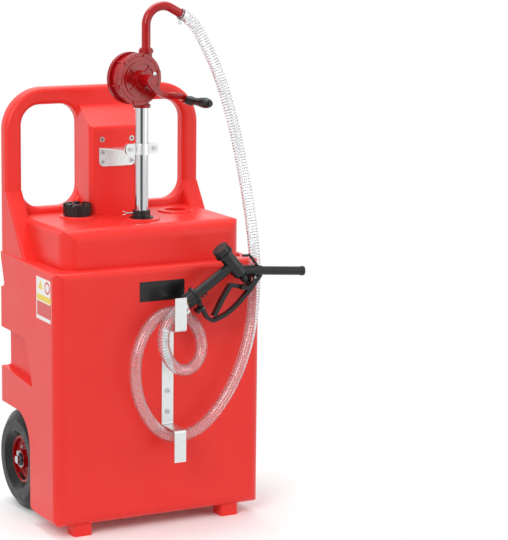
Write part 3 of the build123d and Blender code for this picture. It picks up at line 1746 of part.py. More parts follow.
def make_split_pins():
    """A split pin through each end of the axle, its eye to the front."""
    pins = []
    for side in (-1, 1):
        place = side * pin_place()
        pin = rod(pin_radius, (place, axle_setback, wheel_radius - pin_drop / 2),
                  (place, axle_setback, wheel_radius + pin_drop / 2))
        eye = Pos(place, axle_setback, wheel_radius + pin_drop / 2 + pin_eye_radius) * Rot(0, 90, 0) * Torus(
            pin_eye_radius, pin_radius)
        pins.append((pin + eye).solid())
    return Compound(pins)


def left(shape):
    """The same piece on the left wheel."""
    return mirror(shape, about=Plane.YZ)


def build_nodes():
    """Every piece by name, in the drafting frame."""
    pump = pump_frame()
    nozzle = nozzle_frame()
    nodes = {
        **tank_lengths(),
        "filler_neck": make_filler_neck(),
        "filler_cap_gasket": make_cap_gasket(),
        "filler_cap_disc": make_cap_disc(),
        "filler_cap_ring": make_cap_ring(),
        "drum_adaptor": make_adaptor(),
        "wing_screw": make_wing_screw(),
        "suction_tube": make_suction_tube(),
        "lower_suction_tube": make_lower_tube(),
        "foot_strainer": make_strainer(),
        "pump_housing": pump * make_pump_housing(),
        "front_gasket": pump * make_gasket(1),
        "rear_gasket": pump * make_gasket(-1),
        "pump_front_cover": pump * make_front_cover(),
        "pump_rear_cover": pump * make_rear_cover(),
        "cover_bolts": pump * make_cover_screws(),
        "gland_packing": pump * make_packing(),
        "gland_nut": pump * make_gland(),
        "pump_shaft": pump * make_shaft(),
        "pump_rotor": pump * make_rotor(),
        "pump_vanes": pump * make_vanes(),
        "crank_arm": pump * make_crank_arm(),
        "crank_set_screw": pump * make_set_screw(),
        "crank_grip_pin": pump * make_grip_pin(),
        "crank_grip": pump * make_crank_grip(),
        "delivery_spout": make_spout(),
        "spout_hose_clamp": make_spout_clamp(),
        "delivery_hose": make_hose(),
        "nozzle_hose_clamp": make_nozzle_clamp(),
        "hose_tail": nozzle * make_hose_tail(),
        "union_nut": nozzle * make_union_nut(),
        "nozzle_body": nozzle * make_nozzle_body(),
        "trigger_guard": nozzle * make_guard(),
        "nozzle_spout": nozzle * make_outlet(),
        "valve_cap": nozzle * make_valve_cap(),
        "valve_cap_seal": nozzle * make_cap_seal(),
        "valve_poppet": nozzle * make_valve(),
        "valve_spring": nozzle * make_valve_spring(),
        "trigger": nozzle * make_trigger(),
        "trigger_pin": nozzle * make_trigger_pin(),
        "hold_open_latch": nozzle * make_latch(),
        "latch_pin": nozzle * make_latch_pin(),
        "hose_bracket": make_hose_bracket(),
        "hose_bracket_screws": make_strip_screws(),
        "pump_bracket": make_pump_bracket(),
        "pump_clamp_half": make_clamp_half(),
        "clamp_bolts": make_clamp_bolts(),
        "bracket_screws": make_bracket_screws(),
        "spare_inserts": make_inserts(),
        "axle": make_axle(),
        "axle_washers": make_washers(),
        "split_pins": make_split_pins(),
    }
    wheel = {
        "tyre": make_tyre(),
        "inner_tube": make_inner_tube(),
        "rim": make_rim(),
        "bearings": make_bearings(),
        "rim_screws": make_rim_screws(),
        "valve_stem": make_valve_stem(),
    }
    for name, shape in wheel.items():
        nodes["right_" + name] = shape
        nodes["left_" + name] = left(shape)
    return nodes


hose_nodes = ("delivery_hose", "spout_hose_clamp", "nozzle_hose_clamp", "hose_tail")


def origin_shift(nodes):
    """From the drafting frame to the middle of the footprint, hose left out."""
    kept = Compound([shape for name, shape in nodes.items() if name not in hose_nodes])
    middle = kept.bounding_box().center()
    return Vector(-middle.X, -middle.Y, 0)


def main():
    os.makedirs("parts", exist_ok=True)
    nodes = build_nodes()
    shift = origin_shift(nodes)
    print("origin shift", round(shift.X, 3), round(shift.Y, 3))
    for name, shape in nodes.items():
        export_step(Pos(*shift) * one_solid(shape), f"parts/{name}.step")


if __name__ == "__main__":
    main()
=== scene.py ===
"""Looks of a wheeled fuel caddy: its finishes, its clear hose and its printed plates."""

import logging
import math
from dataclasses import dataclass
from enum import Enum

import bmesh
import bpy
from mathutils import Matrix, Vector
from mathutils.bvhtree import BVHTree


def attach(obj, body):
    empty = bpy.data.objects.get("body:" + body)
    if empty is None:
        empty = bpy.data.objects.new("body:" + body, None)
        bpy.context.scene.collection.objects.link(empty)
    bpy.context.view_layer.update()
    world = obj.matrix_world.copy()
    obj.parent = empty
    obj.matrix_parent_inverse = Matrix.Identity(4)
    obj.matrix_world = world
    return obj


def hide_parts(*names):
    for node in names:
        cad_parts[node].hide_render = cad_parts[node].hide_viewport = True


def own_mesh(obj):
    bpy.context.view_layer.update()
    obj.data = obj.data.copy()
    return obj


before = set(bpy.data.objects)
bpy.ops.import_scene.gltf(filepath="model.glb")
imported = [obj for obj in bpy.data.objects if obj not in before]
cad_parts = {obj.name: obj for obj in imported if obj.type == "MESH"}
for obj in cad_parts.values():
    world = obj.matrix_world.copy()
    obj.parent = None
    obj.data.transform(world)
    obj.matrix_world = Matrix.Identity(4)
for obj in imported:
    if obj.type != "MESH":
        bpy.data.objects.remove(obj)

LOG = logging.getLogger("fuel_caddy")
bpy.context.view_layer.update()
MM = 0.001
CHASSIS = "caddy"
CRANK = "crank"

# Points of a solid's loose triangles that are nearer than this are one point.
MERGE = 0.001 * MM

# Half of a metre, for flat shapes that are made a metre across and then scaled to their size.
HALF = 0.5

# Nearly all of a noise pattern lies between these values.
NOISE_LOW = 0.25
NOISE_HIGH = 0.75

# Numbers of the colour sockets on Blender's mixing node.
MIX_SHARE = 0
MIX_FIRST = 6
MIX_SECOND = 7
MIX_RESULT = 2

Node = bpy.types.Node
Socket = bpy.types.NodeSocket
Tree = bpy.types.NodeTree
Triple = tuple[float, float, float]


def linear(colour: str) -> tuple[float, float, float, float]:
    """Turns an sRGB hex colour to linear light, by the standard's own numbers.

    Args:
        colour: Six hex digits after a hash sign.

    Returns:
        Red, green, blue and an alpha of one.
    """
    shares = [int(colour[i:i + 2], 16) / 255 for i in (1, 3, 5)]
    light = [s / 12.92 if s <= 0.04045 else ((s + 0.055) / 1.055) ** 2.4 for s in shares]
    return light[0], light[1], light[2], 1.0


def per_metre(size_mm: float) -> float:
    """The texture scale at which one cell of a pattern is this many millimetres."""
    return 1000.0 / size_mm


def add_node(
    tree: Tree,
    kind: str,
    values: dict[str | int, object] | None = None,
    links: dict[str | int, Socket] | None = None,
    **options: object,
) -> Node:
    """Adds one node with its settings and links.

    Args:
        tree: The node tree that takes the node.
        kind: Blender's name for the kind of node.
        values: Values for inputs, by the input's name or number.
        links: Sockets that feed inputs, by the input's name or number.
        **options: Settings of the node itself.

    Returns:
        The new node.
    """
    node = tree.nodes.new(kind)
    for name, value in options.items():
        setattr(node, name, value)
    for name, value in (values or {}).items():
        node.inputs[name].default_value = value
    for name, socket in (links or {}).items():
        tree.links.new(socket, node.inputs[name])
    return node


def empty_tree(owner: bpy.types.Material | bpy.types.World) -> Tree:
    """Turns on the nodes of a new material or world and clears them.

    Args:
        owner: The material or world.

    Returns:
        Its node tree.
    """
    owner.use_nodes = True
    owner.node_tree.nodes.clear()
    return owner.node_tree


def noise(tree: Tree, place: Socket, size_mm: float, detail: float = 2.0) -> Socket:
    """A soft random pattern.

    Args:
        tree: The node tree.
        place: The coordinates that it follows.
        size_mm: The size of one patch in millimetres.
        detail: How many finer layers lie over the first.

    Returns:
        The pattern's value, about 0.5 in its middle.
    """
    values = {"Scale": per_metre(size_mm), "Detail": detail}
    return add_node(tree, "ShaderNodeTexNoise", values, {"Vector": place}).outputs["Fac"]


def remap(tree: Tree, value: Socket, low: float, high: float) -> Socket:
    """Spreads the middle of a noise pattern over a new range.

    Args:
        tree: The node tree.
        value: The pattern.
        low: The result at the pattern's low end.
        high: The result at its high end.

    Returns:
        The new value.
    """
    values = {"From Min": NOISE_LOW, "From Max": NOISE_HIGH, "To Min": low, "To Max": high}
    links = {"Value": value}
    spread = add_node(tree, "ShaderNodeMapRange", values, links, interpolation_type="SMOOTHSTEP")
    return spread.outputs["Result"]


def blend_colours(tree: Tree, share: Socket, first: str, second: str) -> Socket:
    """Blends two colours.

    Args:
        tree: The node tree.
        share: How much of the second colour shows, from 0 to 1.
        first: The first colour in hex.
        second: The second colour in hex.

    Returns:
        The blended colour.
    """
    values = {MIX_FIRST: linear(first), MIX_SECOND: linear(second)}
    mixed = add_node(tree, "ShaderNodeMix", values, {MIX_SHARE: share}, data_type="RGBA")
    return mixed.outputs[MIX_RESULT]


def bump(tree: Tree, height: Socket, depth_mm: float, under: Socket | None = None) -> Socket:
    """Turns a pattern into relief.

    Args:
        tree: The node tree.
        height: The pattern.
        depth_mm: The relief's depth in millimetres.
        under: A relief that this one lies on.

    Returns:
        The bumped normal.
    """
    links = {"Height": height}
    if under is not None:
        links["Normal"] = under
    values = {"Strength": 1.0, "Distance": depth_mm * MM}
    return add_node(tree, "ShaderNodeBump", values, links).outputs["Normal"]


@dataclass(frozen=True)
class Surface:
    """A shader in the making, with the coordinates in metres that its patterns follow."""

    tree: Tree
    shader: Node
    place: Socket

    def noise(self, size_mm: float, detail: float) -> Socket:
        """A random pattern on this surface."""
        return noise(self.tree, self.place, size_mm, detail)

    def tone(self, pattern: Socket, first: str, second: str) -> None:
        """Lets a pattern drift between two colours.

        Args:
            pattern: The pattern.
            first: The colour at its low end, in hex.
            second: The colour at its high end, in hex.
        """
        blend = blend_colours(self.tree, remap(self.tree, pattern, 0, 1), first, second)
        self.tree.links.new(blend, self.shader.inputs["Base Color"])

    def gloss(self, pattern: Socket, roughness: float, drift: tuple[float, float]) -> None:
        """Lets a pattern drift between two roughnesses.

        Args:
            pattern: The pattern.
            roughness: The finish's own roughness.
            drift: What the pattern's low and high end add to it.
        """
        low, high = drift
        rough = remap(self.tree, pattern, roughness + low, roughness + high)
        self.tree.links.new(rough, self.shader.inputs["Roughness"])

    def relief(self, pattern: Socket, depth_mm: float, under: Socket | None = None) -> None:
        """Raises a pattern from the surface.

        Args:
            pattern: The pattern.
            depth_mm: The relief's depth in millimetres.
            under: A relief that this one lies on.
        """
        raised = bump(self.tree, pattern, depth_mm, under)
        self.tree.links.new(raised, self.shader.inputs["Normal"])


@dataclass(frozen=True)
class Finish:
    """A real material with the way its surface was made."""

    name: str
    colour: str
    roughness: float
    second: str = "#000000"

    def settings(self) -> dict[str, object]:
        """Values of the shader that are the same all over the surface."""
        return {"Base Color": linear(self.colour), "Roughness": self.roughness}

    def pattern(self, surface: Surface) -> None:
        """Adds what the eye finds on the surface, which is nothing on a plain one."""

    def material(self) -> bpy.types.Material:
        """Builds the material once and keeps it for every piece that asks for it.

        Returns:
            The material.
        """
        known = bpy.data.materials.get(self.name)
        if known is not None:
            return known
        material = bpy.data.materials.new(self.name)
        tree = empty_tree(material)
        shader = add_node(tree, "ShaderNodeBsdfPrincipled", self.settings())
        place = add_node(tree, "ShaderNodeTexCoord").outputs["Object"]
        self.pattern(Surface(tree, shader, place))
        add_node(tree, "ShaderNodeOutputMaterial", links={"Surface": shader.outputs["BSDF"]})
        return material


@dataclass(frozen=True)
class RotomouldedPolyethylene(Finish):
    """Hollow moulding from powder: satin, a little waxy, with a fine even orange peel.

    The peel is drawn coarser than it is, so that it shows.
    """

    peel_mm: float = 2.4
    peel_depth_mm: float = 0.05
    wave_mm: float = 90.0
    sink_depth_mm: float = 0.1
    gloss_drift: tuple[float, float] = (-0.03, 0.04)

    def settings(self) -> dict[str, object]:
        """A satin surface at polyethylene's IOR with a thin waxy sheen."""
        return super().settings() | {"IOR": 1.51, "Specular IOR Level": 0.3}

    def pattern(self, surface: Surface) -> None:
        """Slow drift in colour and gloss, shallow sinks of the wall and fine peel.

        Args:
            surface: The shader that it goes on.
        """
        drift = surface.noise(self.wave_mm, detail=0.5)
        peel = surface.noise(self.peel_mm, detail=3.0)
        surface.tone(drift, self.colour, self.second)
        surface.gloss(drift, self.roughness, self.gloss_drift)
        sinks = bump(surface.tree, drift, self.sink_depth_mm)
        surface.relief(peel, self.peel_depth_mm, sinks)


@dataclass(frozen=True)
class EnamelledCasting(Finish):
    """Metal under gloss enamel: unevenness softened by thick wet paint."""

    cast_mm: float = 7.0
    cast_depth_mm: float = 0.14
    run_mm: float = 26.0
    gloss_drift: tuple[float, float] = (-0.04, 0.06)

    def settings(self) -> dict[str, object]:
        """Gloss paint at its IOR."""
        return super().settings() | {"IOR": 1.48, "Specular IOR Level": 0.42}

    def pattern(self, surface: Surface) -> None:
        """Casting skin, pooled paint and a darker tone where it lies thick.

        Args:
            surface: The shader that it goes on.
        """
        skin = surface.noise(self.cast_mm, detail=4.0)
        pool = surface.noise(self.run_mm, detail=2.0)
        surface.tone(pool, self.colour, self.second)
        surface.gloss(skin, self.roughness, self.gloss_drift)
        surface.relief(skin, self.cast_depth_mm)


@dataclass(frozen=True)
class PlatedMetal(Finish):
    """Metal with a plated, drawn or machined surface.

    The grain's sizes are in millimetres along the piece's axes. The real one is too fine to show
    at this distance, so it is drawn coarser.
    """

    grain_mm: Triple = (0.8, 0.8, 0.8)
    spread: float = 0.08
    relief_mm: float = 0.01

    def settings(self) -> dict[str, object]:
        """A bare metal."""
        return super().settings() | {"Metallic": 1.0}

    def pattern(self, surface: Surface) -> None:
        """Grain drawn out along one direction, in colour, gloss and relief.

        Args:
            surface: The shader that it goes on.
        """
        stretched = add_node(surface.tree, "ShaderNodeMapping", links={"Vector": surface.place})
        stretched.inputs["Scale"].default_value = [1.0 / size for size in self.grain_mm]
        grain = noise(surface.tree, stretched.outputs["Vector"], size_mm=1.0, detail=3.0)
        surface.tone(grain, self.colour, self.second)
        surface.gloss(grain, self.roughness, (-self.spread / 2, self.spread))
        surface.relief(grain, self.relief_mm)


@dataclass(frozen=True)
class GlassFilledNylon(Finish):
    """Injection moulded black plastic with a spark-eroded mould grain, drawn coarser so it shows."""

    grain_mm: float = 1.6
    depth_mm: float = 0.05
    grains_per_mark: float = 14.0
    gloss_drift: tuple[float, float] = (-0.08, 0.08)

    def settings(self) -> dict[str, object]:
        """Satin plastic at nylon's IOR."""
        return super().settings() | {"IOR": 1.53, "Specular IOR Level": 0.4}

    def pattern(self, surface: Surface) -> None:
        """Fine mould grain, and handling marks that shine a little.

        Args:
            surface: The shader that it goes on.
        """
        grain = surface.noise(self.grain_mm, detail=4.0)
        wear = surface.noise(self.grain_mm * self.grains_per_mark, detail=3.0)
        surface.tone(grain, self.colour, self.second)
        surface.gloss(wear, self.roughness, self.gloss_drift)
        surface.relief(grain, self.depth_mm)


@dataclass(frozen=True)
class MouldedRubber(Finish):
    """Carbon-black rubber as it leaves the mould: dull, with a pale bloom over a fine grain.

    The grain is drawn coarser than it is, so that it shows.
    """

    bloom_mm: float = 18.0
    grain_mm: float = 1.2
    depth_mm: float = 0.06
    gloss_drift: tuple[float, float] = (-0.08, 0.08)

    def settings(self) -> dict[str, object]:
        """Dull rubber."""
        return super().settings() | {"IOR": 1.52, "Specular IOR Level": 0.28}

    def pattern(self, surface: Surface) -> None:
        """Patches of bloom over a fine grain.

        Args:
            surface: The shader that it goes on.
        """
        bloom = surface.noise(self.bloom_mm, detail=4.0)
        grain = surface.noise(self.grain_mm, detail=2.0)
        surface.tone(bloom, self.colour, self.second)
        surface.gloss(bloom, self.roughness, self.gloss_drift)
        surface.relief(grain, self.depth_mm)


@dataclass(frozen=True)
class ClearVinyl(Finish):
    """Extruded soft vinyl: clear, with uneven haze and a slightly wavy wall."""

    haze_mm: float = 5.0
    depth_mm: float = 0.1
    gloss_drift: tuple[float, float] = (-0.05, 0.1)

    def settings(self) -> dict[str, object]:
        """Clear vinyl, whose IOR is eased so that the thin wall stays clear at its edges."""
        clear = {"IOR": 1.2, "Transmission Weight": 0.975, "Coat Weight": 0.7, "Coat Roughness": 0.05}
        return super().settings() | clear

    def pattern(self, surface: Surface) -> None:
        """Uneven haze and slight waviness of the wall.

        Args:
            surface: The shader that it goes on.
        """
        haze = surface.noise(self.haze_mm, detail=3.0)
        surface.gloss(haze, self.roughness, self.gloss_drift)
        surface.relief(haze, self.depth_mm)


@dataclass(frozen=True)
class PrintedVinyl(Finish):
    """Screen-printed film: flat ink with a faint tooth, drawn coarser so that it shows."""

    tooth_mm: float = 1.5
    depth_mm: float = 0.01

    def pattern(self, surface: Surface) -> None:
        """Ink that covers a little unevenly.

        Args:
            surface: The shader that it goes on.
        """
        tooth = surface.noise(self.tooth_mm, detail=2.0)
        surface.tone(tooth, self.colour, self.second)
        surface.relief(tooth, self.depth_mm)


# The tank: a warm satin red whose tone drifts slowly over each wall.
TANK_RED = RotomouldedPolyethylene("rotomoulded polyethylene red", "#E62F28", 0.31, "#E7322B")

# The pump: a deeper red than the tank's, wet and glossy over a sand-cast skin.
PUMP_ENAMEL = EnamelledCasting("gloss enamel on cast iron", "#A3070C", 0.2, "#930509")

# The spout: the same paint, smoother and brighter on drawn tube.
SPOUT_ENAMEL = EnamelledCasting("gloss enamel on steel tube", "#AC0C13", 0.16, "#9E080E", cast_mm=14.0)

# The rims: paint on pressed sheet, with only long soft waves.
RIM_PAINT = EnamelledCasting(
    "enamelled pressed steel", "#980309", 0.24, "#8A0207", cast_mm=12.0, run_mm=40.0
)

# The suction tube: a mirror with faint lengthwise streaks.
CHROME = PlatedMetal(
    "bright chrome plate", "#D6D8DA", 0.09, "#C9CBCD", grain_mm=(40.0, 40.0, 400.0), spread=0.03,
    relief_mm=0.004,
)

# Bracket and strip: pale cold-rolled sheet whose grain runs upright.
ZINC = PlatedMetal(
    "bright zinc plated sheet", "#E6E8E7", 0.32, "#D9DBDB", grain_mm=(3.0, 3.0, 18.0), spread=0.12,
    relief_mm=0.02,
)

# Screws and the axle: a shade darker and more even than the sheet.
SCREW_ZINC = PlatedMetal(
    "zinc plated screw steel", "#CFD0D0", 0.28, "#B9BBBC", grain_mm=(1.5, 1.5, 1.5), spread=0.1,
    relief_mm=0.02,
)

# Pins, bearings, the rotor and the valve's spring: grey, with the fine rings of the lathe.
STEEL = PlatedMetal(
    "turned steel", "#A9AAAC", 0.3, "#97989B", grain_mm=(0.6, 40.0, 40.0), spread=0.1, relief_mm=0.01
)

# The hose tail: dull yellow metal.
BRASS = PlatedMetal(
    "turned brass", "#C9A560", 0.28, "#B8924C", grain_mm=(1.0, 1.0, 1.0), spread=0.08, relief_mm=0.01
)

# Washers and the grip's pin: nearly black metal. The same finish is painted shade in the screws' recesses
# and in the groove round the shaft's end.
BLACK_STEEL_AND_SHADE = PlatedMetal(
    "blackened steel and painted shade", "#3A3B3D", 0.4, "#2C2D2F", grain_mm=(1.5, 1.5, 1.5), spread=0.1, relief_mm=0.02
)

# The wire in the hose: dull grey, so that its turns read as fine dark lines over white.
STEEL_WIRE = PlatedMetal(
    "drawn steel wire", "#B2B4B7", 0.6, "#A4A6A9", grain_mm=(2.0, 2.0, 2.0), spread=0.08, relief_mm=0.005
)

# The nozzle and the crank's grip: satin black with soft pale highlights.
BLACK_NYLON = GlassFilledNylon("glass filled nylon black", "#0C0C0D", 0.38, "#131415")

# The filler cap and neck: a little smoother and bluer than the nozzle.
BLACK_CAP = GlassFilledNylon(
    "moulded polypropylene black", "#0F1011", 0.36, "#16171A", grain_mm=1.2, depth_mm=0.03
)

# Seals, inner tubes and valve stems: matt and slightly grey.
BLACK_RUBBER = MouldedRubber("nitrile rubber", "#191919", 0.6, "#232324", bloom_mm=6.0, grain_mm=0.8)

# The tyres: deep black with a soft sheen on the shoulder.
TYRE = MouldedRubber("moulded tyre rubber", "#0B0B0C", 0.36, "#131315")

# The hose's wall: clear, so that tank and wire show through it under sharp highlights.
VINYL = ClearVinyl("clear soft vinyl", "#FEFEFF", 0.08)

# The bare badge and the plain label: flat films and inks.
BADGE_FILM = PrintedVinyl("black badge film", "#070708", 0.3, "#0B0B0C")
LABEL_WHITE = PrintedVinyl("white label film", "#EFEDEA", 0.4, "#E6E3DF")
LABEL_YELLOW = PrintedVinyl("yellow label ink", "#E9D24C", 0.4, "#E0C63E")
LABEL_RED = PrintedVinyl("red label ink", "#D9534E", 0.4, "#CF4944")


class Slot(Enum):
    """Three of the record's material slots by name; no piece here takes its finish from them."""

    HOSE = "clear_hose"
    STEEL = "steel"
    PLASTIC = "black_plastic"


def mesh_from_shape(shape: bmesh.types.BMesh, name: str) -> bpy.types.Mesh:
    """Writes a modelled shape to a new mesh and lets the shape go.

    Args:
        shape: The shape.
        name: The mesh's name.

    Returns:
        The new mesh.
    """
    mesh = bpy.data.meshes.new(name)
    shape.to_mesh(mesh)
    shape.free()
    return mesh


def mesh_from_curve(curve: bpy.types.Curve) -> bpy.types.Mesh:
    """Turns a curve into a mesh and lets the curve go.

    Args:
        curve: The curve.

    Returns:
        The new mesh.
    """
    carrier = bpy.data.objects.new(curve.name, curve)
    bpy.context.scene.collection.objects.link(carrier)
    bpy.context.view_layer.update()
    mesh = bpy.data.meshes.new_from_object(carrier)
    bpy.data.objects.remove(carrier)
    bpy.data.curves.remove(curve)
    return mesh


def merged_copy(node: str) -> bmesh.types.BMesh:
    """A copy of a carried-over solid with its loose triangles joined.

    Args:
        node: The solid's name.

    Returns:
        The copy.
    """
    shape = bmesh.new()
    shape.from_mesh(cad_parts[node].data)
    bmesh.ops.remove_doubles(shape, verts=shape.verts, dist=MERGE)
    return shape


def finish_piece(
    name: str,
    mesh: bpy.types.Mesh,
    finish: Finish,
    body: str,
    smooth: bool = True,
) -> bpy.types.Object:
    """Puts a mesh that is already in place into the scene.

    Args:
        name: The piece's name.
        mesh: Its mesh, in metres in the part's own frame.
        finish: What it is made of.
        body: The body that it moves with.
        smooth: Whether its faces shade smoothly.

    Returns:
        The new object.
    """
    mesh.name = name
    mesh.materials.clear()
    mesh.materials.append(finish.material())
    for face in mesh.polygons:
        face.use_smooth = smooth
    piece = bpy.data.objects.new(name, mesh)
    bpy.context.scene.collection.objects.link(piece)
    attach(piece, body)
    LOG.info("%s: %d faces", name, len(mesh.polygons))
    return piece


def dress(nodes: tuple[str, ...], finish: Finish) -> None:
    """Gives carried-over pieces their finish.

    Args:
        nodes: Names of the pieces.
        finish: What they are made of.
    """
    for name in nodes:
        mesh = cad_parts[name].data
        mesh.materials.clear()
        mesh.materials.append(finish.material())
        LOG.info("%s: %s", name, finish.name)


@dataclass
class StudioCamera:
    """The camera of the photograph."""

    place: Triple = (-2.4818, -5.1555, 1.6687)
    azimuth: float = -28.531
    elevation: float = 10.285
    roll: float = 0.615
    lens: float = 151.05
    sensor: float = 36.0
    nearest: float = 0.1
    farthest: float = 100.0

    def build(self) -> None:
        """Makes the camera and looks through it."""
        turn, rise = math.radians(self.azimuth), math.radians(self.elevation)
        ahead = Vector((-math.sin(turn) * math.cos(rise), math.cos(turn) * math.cos(rise), -math.sin(rise)))
        data = bpy.data.cameras.new("photo_camera")
        data.lens = self.lens
        data.sensor_width = self.sensor
        data.clip_start = self.nearest
        data.clip_end = self.farthest
        camera = bpy.data.objects.new("photo_camera", data)
        level = ahead.to_track_quat("-Z", "Y").to_matrix().to_4x4()
        tilt = Matrix.Rotation(math.radians(self.roll), 4, "Z")
        camera.matrix_world = Matrix.Translation(self.place) @ level @ tilt
        bpy.context.scene.collection.objects.link(camera)
        bpy.context.scene.camera = camera
        bpy.context.scene.view_settings.view_transform = "Standard"


@dataclass
class DeliveryHose:
    """The clear hose with a steel wire helix, from the pump's spout to the nozzle's nut.

    The route repeats the source's points in metres. Resolution and sections count the steps
    along a stretch of the line and round its tube and wire.
    """

    route: tuple[Triple, ...] = (
        (0.0823, -0.0351, 1.2843), (0.1155, -0.0351, 1.2659), (0.1342, -0.0483, 1.2290),
        (0.1472, -0.0673, 1.1900), (0.1597, -0.0883, 1.1460), (0.1707, -0.1023, 1.1000),
        (0.1832, -0.1113, 1.0500), (0.1957, -0.1193, 0.9960), (0.2032, -0.1303, 0.9420),
        (0.2087, -0.1453, 0.8850), (0.2112, -0.1633, 0.8260), (0.2122, -0.1813, 0.7670),
        (0.2117, -0.1973, 0.7100), (0.2117, -0.2053, 0.6550), (0.2087, -0.2103, 0.6000),
        (0.2017, -0.2163, 0.5450), (0.1897, -0.2233, 0.4890), (0.1727, -0.2263, 0.4360),
        (0.1517, -0.2273, 0.3850), (0.1247, -0.2273, 0.3380), (0.0917, -0.2263, 0.2950),
        (0.0557, -0.2263, 0.2620), (0.0157, -0.2253, 0.2450), (-0.0253, -0.2253, 0.2415),
        (-0.0653, -0.2263, 0.2595), (-0.0993, -0.2273, 0.2990), (-0.1243, -0.2273, 0.3500),
        (-0.1333, -0.2273, 0.4060), (-0.1283, -0.2243, 0.4630), (-0.1043, -0.2183, 0.5140),
        (-0.0663, -0.2093, 0.5500), (-0.0213, -0.2038, 0.5610), (0.0207, -0.2053, 0.5450),
        (0.0507, -0.2113, 0.5090), (0.0577, -0.2193, 0.4650), (0.0427, -0.2283, 0.4300),
        (0.0107, -0.2343, 0.4110), (-0.0233, -0.2383, 0.4180), (-0.0513, -0.2413, 0.4480),
        (-0.0653, -0.2423, 0.4910), (-0.0563, -0.2403, 0.5340), (-0.0282, -0.2351, 0.5645),
        (0.0030, -0.2368, 0.5861),
    )
    radius: float = 14.5 * MM
    bore: float = 11.5 * MM
    length: float = 2.07
    wire_radius: float = 0.6 * MM
    wire_turn: float = 7.1 * MM
    steps_per_turn: int = 14
    resolution: int = 10
    tube_section: int = 8
    wire_section: int = 1

    def line(self, bevel: float) -> bpy.types.Mesh:
        """The route's smooth line as a mesh, swept to a round section where a bevel is given.

        Args:
            bevel: The section's radius, or 0 for the bare line.

        Returns:
            The mesh, with its points in order where there is no bevel.
        """
        curve = bpy.data.curves.new("hose_line", "CURVE")
        curve.dimensions = "3D"
        spline = curve.splines.new("NURBS")
        spline.points.add(len(self.route) - 1)
        for point, place in zip(spline.points, self.route):
            point.co = (*place, 1.0)
        spline.order_u = 3
        spline.use_endpoint_u = True
        curve.resolution_u = self.resolution
        curve.bevel_depth = bevel
        curve.bevel_resolution = self.tube_section
        return mesh_from_curve(curve)

    def helix(self, points: list[Vector]) -> bpy.types.Mesh:
        """The wire that winds through the hose's wall and stands a little out of its skin.

        Args:
            points: The hose's middle line.

        Returns:
            The wire's mesh.
        """
        coil_radius = self.radius - self.wire_radius / 4
        step = self.wire_turn / self.steps_per_turn
        side = (points[1] - points[0]).orthogonal().normalized()
        places, left, turn = [], 0.0, 0.0
        for before, after in zip(points, points[1:]):
            run = after - before
            along = run.normalized()
            side = (side - along * side.dot(along)).normalized()
            across = along.cross(side)
            while left < run.length:
                out = side * math.cos(turn) + across * math.sin(turn)
                places.append(before + along * left + out * coil_radius)
                left += step
                turn += 2 * math.pi / self.steps_per_turn
            left -= run.length
        curve = bpy.data.curves.new("hose_wire", "CURVE")
        curve.dimensions = "3D"
        spline = curve.splines.new("POLY")
        spline.points.add(len(places) - 1)
        spline.points.foreach_set("co", [x for place in places for x in (*place, 1.0)])
        curve.bevel_depth = self.wire_radius
        curve.bevel_resolution = self.wire_section
        curve.use_fill_caps = True
        return mesh_from_curve(curve)

    def build(self) -> None:
        points = [vertex.co.copy() for vertex in self.line(0.0).vertices]
        tube = finish_piece("clear_hose", self.line(self.radius), VINYL, CHASSIS)
        wall = tube.modifiers.new("hose_wall", "SOLIDIFY")
        wall.thickness = self.radius - self.bore
        wall.offset = -1.0
        tube.visible_shadow = False
        wire = finish_piece("hose_wire", self.helix(points), STEEL_WIRE, CHASSIS)
        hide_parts("delivery_hose")


@dataclass
class PrintedPlate:
    """A thin plate or a printed block that lies on the tank.

    Cells counts the squares along each side, so that a plate follows the wall's curve, and
    drop is how far out its points start before they fall onto the wall.
    """

    name: str
    finish: Finish
    middle: Triple
    size: tuple[float, float]
    towards: Triple
    thickness: float
    lift: float = 0.0
    corners: int = 4
    cells: int = 8
    drop: float = 100.0 * MM

    def outline(self) -> bmesh.types.BMesh:
        """A flat shape one metre across, with this many corners.

        Returns:
            The shape.
        """
        shape = bmesh.new()
        if self.corners == 4:
            bmesh.ops.create_grid(shape, x_segments=self.cells, y_segments=self.cells, size=HALF)
        else:
            bmesh.ops.create_circle(shape, cap_ends=True, segments=self.corners, radius=HALF)
        return shape

    def build(self) -> None:
        """Lays the plate on the tank's wall along the way that it faces."""
        shape = self.outline()
        inward = Vector(self.towards)
        turn = (-inward).to_track_quat("Z", "Y").to_matrix().to_4x4()
        scale = Matrix.Diagonal((*self.size, 1.0, 1.0))
        place = Matrix.Translation(self.middle) @ turn @ scale
        bmesh.ops.transform(shape, matrix=place, verts=shape.verts)
        wall = BVHTree.FromObject(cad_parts["tank_shell"], bpy.context.evaluated_depsgraph_get())
        for vertex in shape.verts:
            hit, normal, _, _ = wall.ray_cast(vertex.co - inward * self.drop, inward)
            vertex.co = hit + normal * (self.lift + self.thickness)
        bmesh.ops.recalc_face_normals(shape, faces=shape.faces)
        if sum((face.normal for face in shape.faces), Vector()).dot(inward) > 0:
            bmesh.ops.reverse_faces(shape, faces=shape.faces)
        bmesh.ops.solidify(shape, geom=shape.faces[:], thickness=self.thickness)
        mesh = mesh_from_shape(shape, self.name)
        finish_piece(self.name, mesh, self.finish, CHASSIS, smooth=False)


@dataclass(frozen=True)
class InkBlock:
    """A plain block of ink, with its place and size as shares of the label's."""

    name: str
    finish: Finish
    across: float
    up: float
    width: float
    height: float
    corners: int
    lift: float = 0.0


